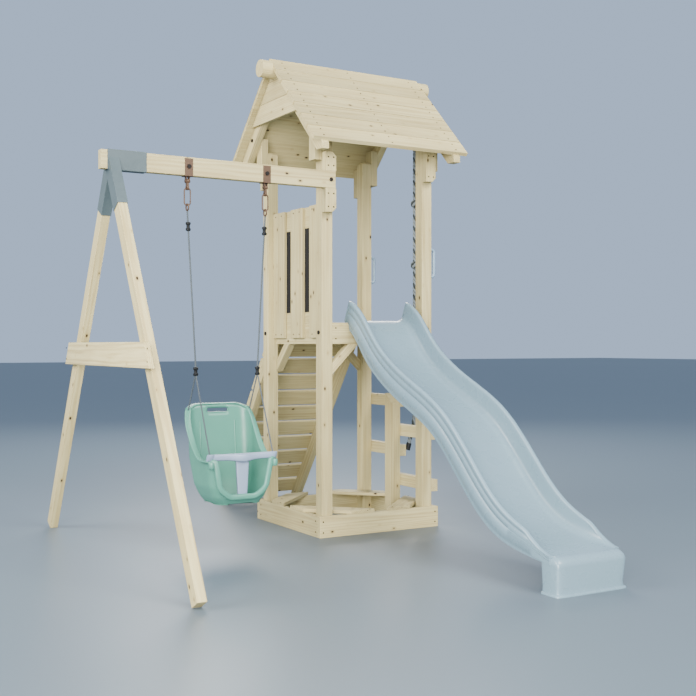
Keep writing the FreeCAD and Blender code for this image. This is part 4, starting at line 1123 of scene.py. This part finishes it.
# ------------------------------------------------------------------------- stage
class PLAYTOWER_OT_stage(bpy.types.Operator):
    """Set the floor, the soft light and the camera."""
    bl_idname = "playtower.stage"
    bl_label = "Stage"

    def execute(self, context):
        stage = context.scene.playtower_stage
        bm = bmesh.new()
        bmesh.ops.create_grid(bm, x_segments=2, y_segments=2, size=60)
        ground = Finish("pale_floor", 0.42, gloss=0.3)
        cloud = ground.noise(ground.place(), 0.3, 1.0)
        ground.join(ground.shader.inputs["Base Color"],
                    ground.mix(cloud, full(stage.floor), full(stage.floor, 1.04)))
        floor = new_piece("studio_floor", bm, [ground.material])

        world = bpy.data.worlds.new("soft_studio")
        world.use_nodes = True
        around = world.node_tree.nodes["Background"].inputs
        around["Color"].default_value = full(stage.sky)
        around["Strength"].default_value = 0.90
        context.scene.world = world

        for name, spot, aim, size, power in (
            ("key_light", (1.0, -6.5, 6.5), (0.2, 0.0, 1.0), 4.0, 1250),
            ("front_light", (-4.5, -6.5, 2.2), (0.0, 0.0, 1.0), 4.0, 1500),
            ("side_light", (-6.5, 1.0, 4.5), (0.0, 0.0, 1.2), 4.0, 900),
            ("back_light", (3.0, 6.0, 5.0), (0.2, 0.2, 1.4), 4.0, 620),
        ):
            light = bpy.data.lights.new(name, "AREA")
            light.size = size
            light.energy = power
            light.color = (1.0, 0.965, 0.90)
            lamp = bpy.data.objects.new(name, light)
            lamp.location = spot
            lamp.rotation_euler = (Vector(aim) - Vector(spot)).to_track_quat("-Z", "Y").to_euler()
            context.scene.collection.objects.link(lamp)

        eye = bpy.data.cameras.new("camera")
        eye.lens = stage.lens
        eye.sensor_width = 36
        eye.clip_end = 200
        camera = bpy.data.objects.new("camera", eye)
        camera.location = (-2.697, -5.063, 1.075)
        camera.rotation_euler = (math.radians(89.83), 0, math.radians(-30.5))
        context.scene.collection.objects.link(camera)
        context.scene.camera = camera
        return {"FINISHED"}


# ------------------------------------------------------------------------ add-on
STEPS = ("timber", "roof", "screws", "slide", "seat", "bar", "ropes", "climbing_rope", "fittings",
         "stage")
GROUPS = {
    "playtower_timber": PlayTowerTimber, "playtower_slide": PlayTowerSlide,
    "playtower_swing": PlayTowerSwing, "playtower_rope": PlayTowerRope,
    "playtower_stage": PlayTowerStage,
}


class PLAYTOWER_PT_panel(bpy.types.Panel):
    """Lists the steps that build the play tower."""
    bl_idname = "PLAYTOWER_PT_panel"
    bl_label = "Play Tower"
    bl_space_type = "VIEW_3D"
    bl_region_type = "UI"
    bl_category = "Play Tower"

    def draw(self, context):
        for name, group in GROUPS.items():
            box = self.layout.box()
            for setting in group.__annotations__:
                box.prop(getattr(context.scene, name), setting)
        for step in STEPS:
            self.layout.operator(f"playtower.{step}")


CLASSES = (
    *GROUPS.values(), PLAYTOWER_OT_timber, PLAYTOWER_OT_roof, PLAYTOWER_OT_screws,
    PLAYTOWER_OT_slide, PLAYTOWER_OT_seat, PLAYTOWER_OT_bar, PLAYTOWER_OT_ropes,
    PLAYTOWER_OT_climbing_rope, PLAYTOWER_OT_fittings, PLAYTOWER_OT_stage, PLAYTOWER_PT_panel,
)


def register():
    for item in CLASSES:
        bpy.utils.register_class(item)
    for name, group in GROUPS.items():
        setattr(bpy.types.Scene, name, PointerProperty(type=group))


def unregister():
    for name in GROUPS:
        delattr(bpy.types.Scene, name)
    for item in reversed(CLASSES):
        bpy.utils.unregister_class(item)


def main():
    """Build every piece in order."""
    register()
    for step in STEPS:
        getattr(bpy.ops.playtower, step)()


if __name__ == "__main__":
    main()
